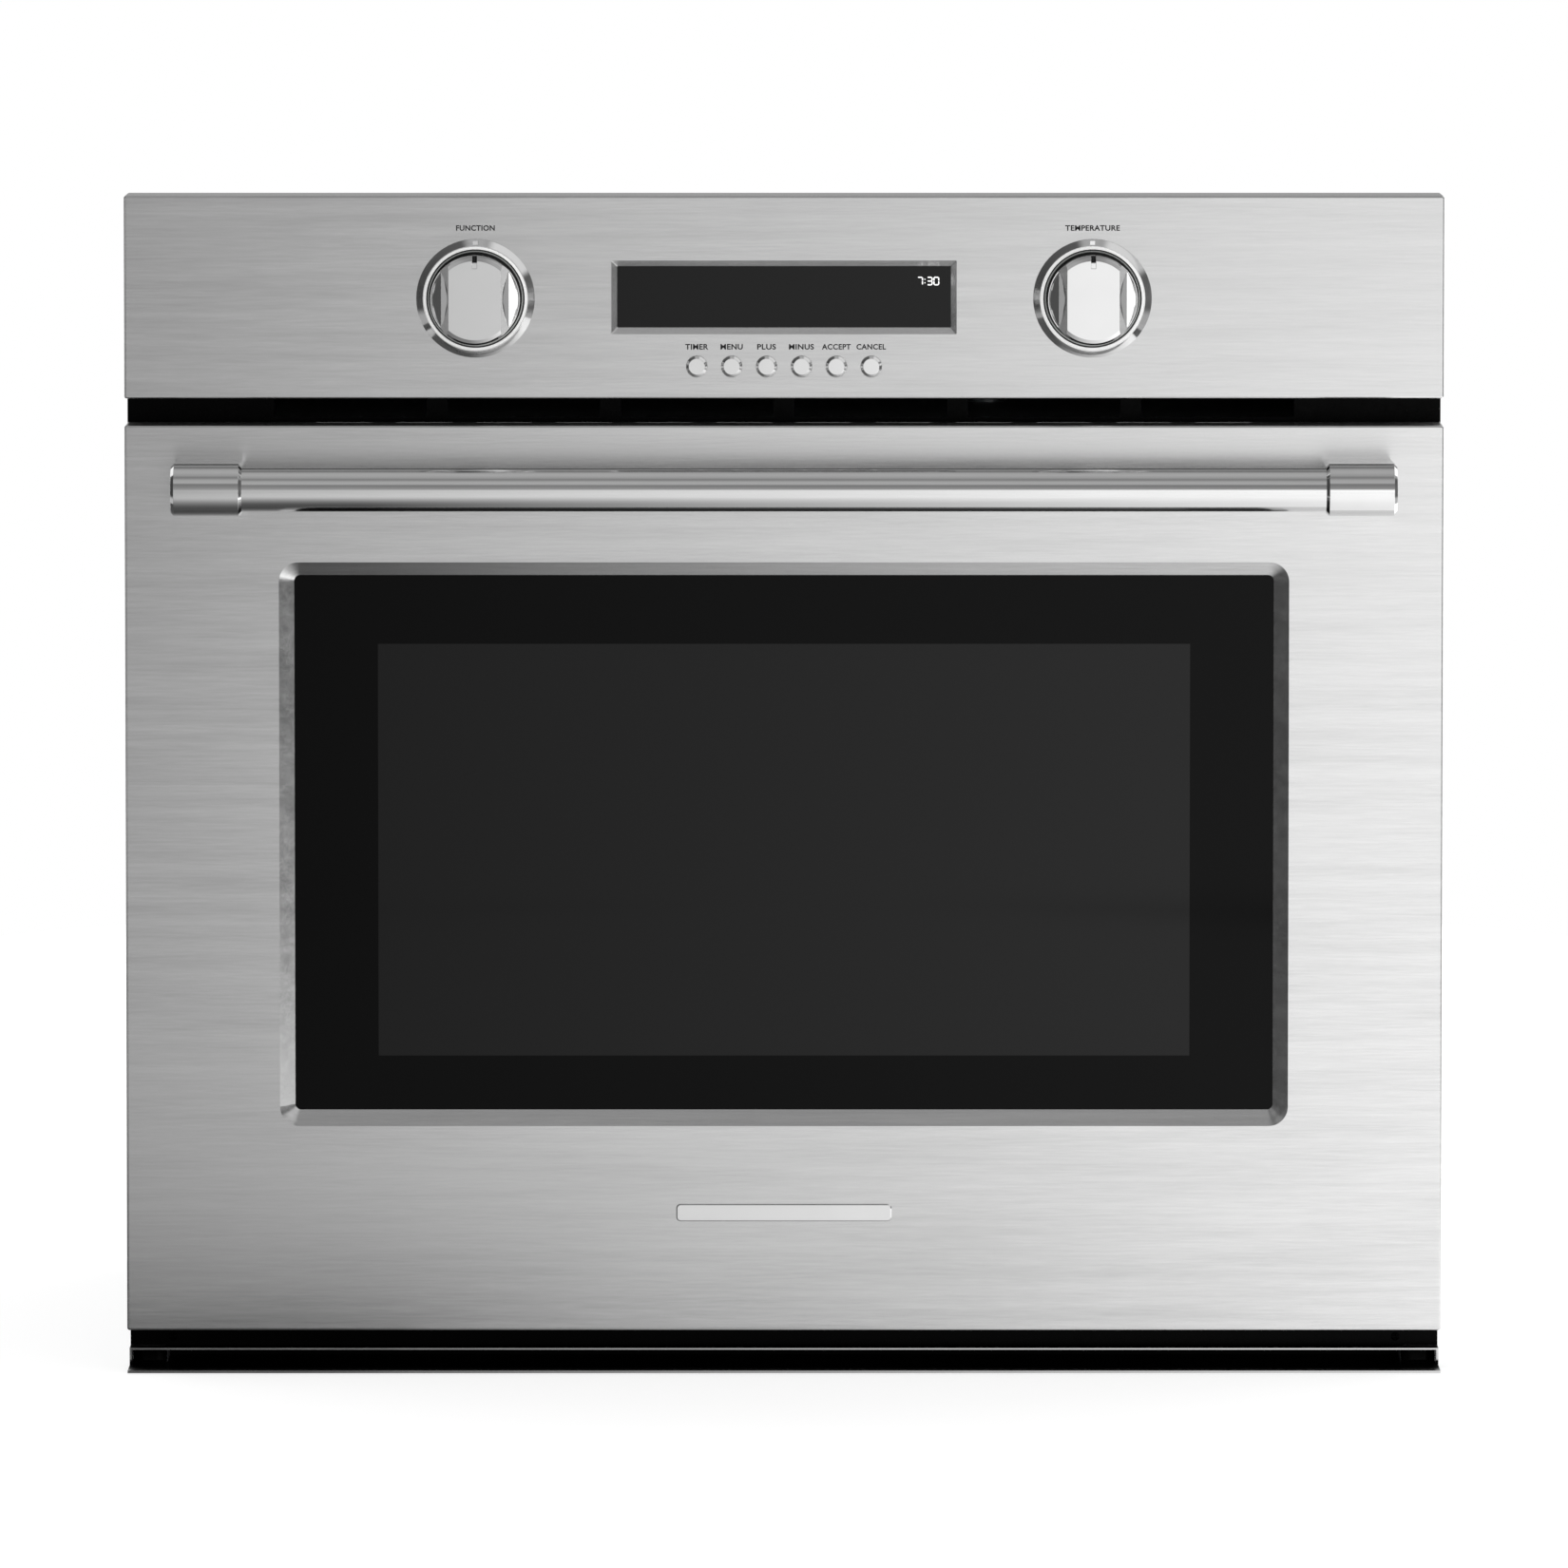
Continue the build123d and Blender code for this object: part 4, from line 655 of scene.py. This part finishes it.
studio = {
    # brightness at the middle, and its rise per metre to the right
    "nearTone": (0.50, 1.6), "farTone": (0.93, 0.84),
    "toneLimits": (0.09, 1.6), "farFrom": 0.12, "farAt": 0.95,
    "floorRadii": (1.3, 3.2), "floorDrop": 0.2 * mm, "floorRings": 40, "floorAround": 96, "floorGrain": 20 * mm,
    "floorDark": "#B8B8B8", "floorLight": "#BCBCBC", "floorLift": 0.70,
    "cardDistance": 3.2, "cardHeight": 1.05, "cardFadeFrom": 0.6, "cardHalfWidth": 2.4,
}


def studioTone(tree, look):
    # brightness rises along +X; close to the oven it starts darker and rises faster than further out
    place = addNode(tree, "ShaderNodeTexCoord")
    parts = addNode(tree, "ShaderNodeSeparateXYZ", links={"Vector": place.outputs["Object"]})
    tones = []
    for base, rise in (look["nearTone"], look["farTone"]):
        ramp = addNode(tree, "ShaderNodeMath", {"operation": "MULTIPLY_ADD", 1: rise, 2: base},
                       {0: parts.outputs[0]})
        limit = addNode(tree, "ShaderNodeClamp", {"Min": look["toneLimits"][0], "Max": look["toneLimits"][1]},
                        {"Value": ramp.outputs[0]})
        tones.append(limit.outputs[0])
    away = addNode(tree, "ShaderNodeMapRange", {
        "interpolation_type": "SMOOTHSTEP", "From Min": -look["farFrom"], "From Max": -look["farAt"]},
        {"Value": parts.outputs[1]})
    mixed = addNode(tree, "ShaderNodeMix", {"data_type": "FLOAT"}, {
        0: away.outputs[0], 2: tones[0], 3: tones[1]})
    return mixed.outputs[0], parts


def makeFloor(look):
    # an oval floor: rings of points out to the two radii; it is matt to the eye and a soft lamp to reflections
    rings, around = look["floorRings"], look["floorAround"]
    r = np.linspace(0.001, 1, rings)[:, None]
    a = np.linspace(0, 2 * np.pi, around, endpoint=False)[None, :]
    across, deep = look["floorRadii"]
    points = np.stack([across * r * np.cos(a), deep * r * np.sin(a), -look["floorDrop"] * np.ones_like(r * a)],
                      axis=-1)
    floor = sceneCard("studioFloor", points.reshape(-1, 3), gridFaces(rings, around, closeColumns=True), True)
    material, tree = startMaterial("paleStudioFloor")
    tone, _ = studioTone(tree, look)
    path = addNode(tree, "ShaderNodeLightPath")
    grain = addNode(tree, "ShaderNodeMix", {
        "data_type": "RGBA", 6: toLinear(look["floorDark"]), 7: toLinear(look["floorLight"])},
        {0: stretchedNoise(tree, [look["floorGrain"]] * 3)})
    matt = addNode(tree, "ShaderNodeBsdfDiffuse", links={"Color": grain.outputs[2]})
    lift = addNode(tree, "ShaderNodeEmission", {"Color": (1, 1, 1, 1), "Strength": look["floorLift"]})
    seen = addNode(tree, "ShaderNodeAddShader", links={0: matt.outputs[0], 1: lift.outputs[0]})
    glow = addNode(tree, "ShaderNodeEmission", {"Color": (1, 1, 1, 1)}, {"Strength": tone})
    both = addNode(tree, "ShaderNodeMixShader", links={
        0: path.outputs["Is Camera Ray"], 1: glow.outputs[0], 2: seen.outputs[0]})
    floor.data.materials.append(closeMaterial(material, both))


def makeFrontCard(look):
    # an upright card across the front, lit as the floor is and fading out towards its top edge
    halfWidth, height, away = look["cardHalfWidth"], look["cardHeight"], -look["cardDistance"]
    points = np.array([(x, away, z) for z in (0, height) for x in (-halfWidth, halfWidth)])
    card = sceneCard("frontCard", points, gridFaces(2, 2), False)
    material, tree = startMaterial("frontCardLight")
    tone, parts = studioTone(tree, look)
    fade = addNode(tree, "ShaderNodeMapRange", {
        "interpolation_type": "SMOOTHSTEP", "From Min": height, "From Max": look["cardFadeFrom"]},
        {"Value": parts.outputs[2]})
    level = addNode(tree, "ShaderNodeMath", {"operation": "MULTIPLY"}, {0: tone, 1: fade.outputs[0]})
    glow = addNode(tree, "ShaderNodeEmission", {"Color": (1, 1, 1, 1)}, {"Strength": level.outputs[0]})
    clear = addNode(tree, "ShaderNodeBsdfTransparent")
    both = addNode(tree, "ShaderNodeMixShader", links={
        0: fade.outputs[0], 1: clear.outputs[0], 2: glow.outputs[0]})
    card.data.materials.append(closeMaterial(material, both))


room = {
    # brightness by elevation in degrees, in front of the oven and over it
    "ahead": [(-90, 0.45), (-8, 0.60), (3, 0.55), (13, 0.30), (27, 0.24), (36, 0.50), (46, 0.46), (60, 0.26),
              (75, 0.42), (90, 0.48)],
    # brightness to the oven's sides by angle in degrees, from the right over the top to the left
    "beside": [(0, 0.17), (20, 0.12), (30, 0.85), (68, 0.85), (84, 0.30), (100, 0.12), (180, 0.06)],
    # the side tones hold close to the plane of the oven's face, away from its middle, and not far below it
    "inPlane": (0.45, 0.28), "toSide": (0.12, 0.3), "above": (-0.35, -0.2),
    "softTone": 0.75,  # what matt surfaces receive
}


def makeWorld(look):
    world = bpy.data.worlds.new("studio")
    bpy.context.scene.world = world
    world.use_nodes = True
    tree = world.node_tree
    tree.nodes.clear()
    ray = addNode(tree, "ShaderNodeTexCoord")
    x, y, z = addNode(tree, "ShaderNodeSeparateXYZ", links={"Vector": ray.outputs["Generated"]}).outputs
    height = addNode(tree, "ShaderNodeMapRange", {"From Min": -1.0, "From Max": 1.0}, {"Value": z})
    level = addNode(tree, "ShaderNodeMath", {"operation": "ABSOLUTE"}, {0: z})
    around = addNode(tree, "ShaderNodeMath", {"operation": "ARCTAN2"}, {0: level.outputs[0], 1: x})
    turn = addNode(tree, "ShaderNodeMapRange", {"From Min": 0.0, "From Max": math.pi},
                   {"Value": around.outputs[0]})
    aheadStops = [((math.sin(math.radians(angle)) + 1) / 2, tone) for angle, tone in look["ahead"]]
    besideStops = [(angle / 180, tone) for angle, tone in look["beside"]]
    tones = []
    for factor, stops in ((height, aheadStops), (turn, besideStops)):
        node = addNode(tree, "ShaderNodeValToRGB", links={"Fac": factor.outputs[0]})
        ramp = node.color_ramp
        ramp.interpolation = "EASE"
        while len(ramp.elements) < len(stops):
            ramp.elements.new(0.5)
        for element, (place, tone) in zip(ramp.elements, stops):
            element.position = place
            element.color = (tone, tone, tone, 1)
        tones.append(node.outputs[0])
    depth = addNode(tree, "ShaderNodeMath", {"operation": "ABSOLUTE"}, {0: y})
    offset = addNode(tree, "ShaderNodeMath", {"operation": "ABSOLUTE"}, {0: x})
    inPlane, toSide, above = [
        addNode(tree, "ShaderNodeMapRange", {
            "interpolation_type": "SMOOTHSTEP", "From Min": look[key][0], "From Max": look[key][1]},
            {"Value": value})
        for key, value in (("inPlane", depth.outputs[0]), ("toSide", offset.outputs[0]), ("above", z))]
    both = addNode(tree, "ShaderNodeMath", {"operation": "MULTIPLY"}, {
        0: inPlane.outputs[0], 1: toSide.outputs[0]})
    share = addNode(tree, "ShaderNodeMath", {"operation": "MULTIPLY"}, {0: both.outputs[0], 1: above.outputs[0]})
    tone = addNode(tree, "ShaderNodeMix", {"data_type": "RGBA"}, {
        0: share.outputs[0], 6: tones[0], 7: tones[1]})
    path = addNode(tree, "ShaderNodeLightPath")
    white = addNode(tree, "ShaderNodeMix", {"data_type": "RGBA", 7: (1, 1, 1, 1)}, {
        0: path.outputs["Is Camera Ray"], 6: tone.outputs[2]})
    soft = addNode(tree, "ShaderNodeMix", {"data_type": "RGBA", 7: (look["softTone"],) * 3 + (1,)}, {
        0: path.outputs["Is Diffuse Ray"], 6: white.outputs[2]})
    background = addNode(tree, "ShaderNodeBackground", {"Strength": 1.0}, {"Color": soft.outputs[2]})
    addNode(tree, "ShaderNodeOutputWorld", links={"Surface": background.outputs[0]})


softLights = {
    "rearLeft": {"place": (-2.2, 2.4, 1.2), "size": 3.0, "watts": 26.0},
    "rearRight": {"place": (2.2, 2.4, 1.2), "size": 3.0, "watts": 34.0},
}
lightsAim = (0, 0.25, 0.3)  # about the middle of the casing


def makeLights():
    for name, look in softLights.items():
        light = bpy.data.lights.new(name, "AREA")
        light.shape, light.size, light.energy = "SQUARE", look["size"], look["watts"]
        holder = bpy.data.objects.new(name, light)
        bpy.context.scene.collection.objects.link(holder)
        holder.location = look["place"]
        aim = np.array(lightsAim) - np.array(look["place"])
        yaw = math.atan2(aim[1], aim[0]) - math.pi / 2
        pitch = math.acos(-aim[2] / np.linalg.norm(aim))
        holder.rotation_euler = (pitch, 0, yaw)
        holder.visible_camera = False


# the camera looks at the middle of the oven's face from a little above; frameWidth is what it takes in there
shot = {"place": (0, -8.55, 1.0), "aim": (0, -0.048, 0.341), "frameWidth": 0.901, "sensor": 36.0, "far": 60.0}


def makeCamera(look):
    camera = bpy.data.cameras.new("camera")
    holder = bpy.data.objects.new("camera", camera)
    bpy.context.scene.collection.objects.link(holder)
    aim = np.array(look["aim"]) - np.array(look["place"])
    distance = np.linalg.norm(aim)
    camera.sensor_width = look["sensor"]
    camera.lens = look["sensor"] * distance / look["frameWidth"]
    camera.clip_end = look["far"]
    holder.location = look["place"]
    holder.rotation_euler = (math.acos(-aim[2] / distance), 0, 0)
    bpy.context.scene.camera = holder


makeFloor(studio)
makeFrontCard(studio)
makeWorld(room)
makeLights()
makeCamera(shot)
bpy.context.scene.view_settings.view_transform = "Standard"
print("studio lit")
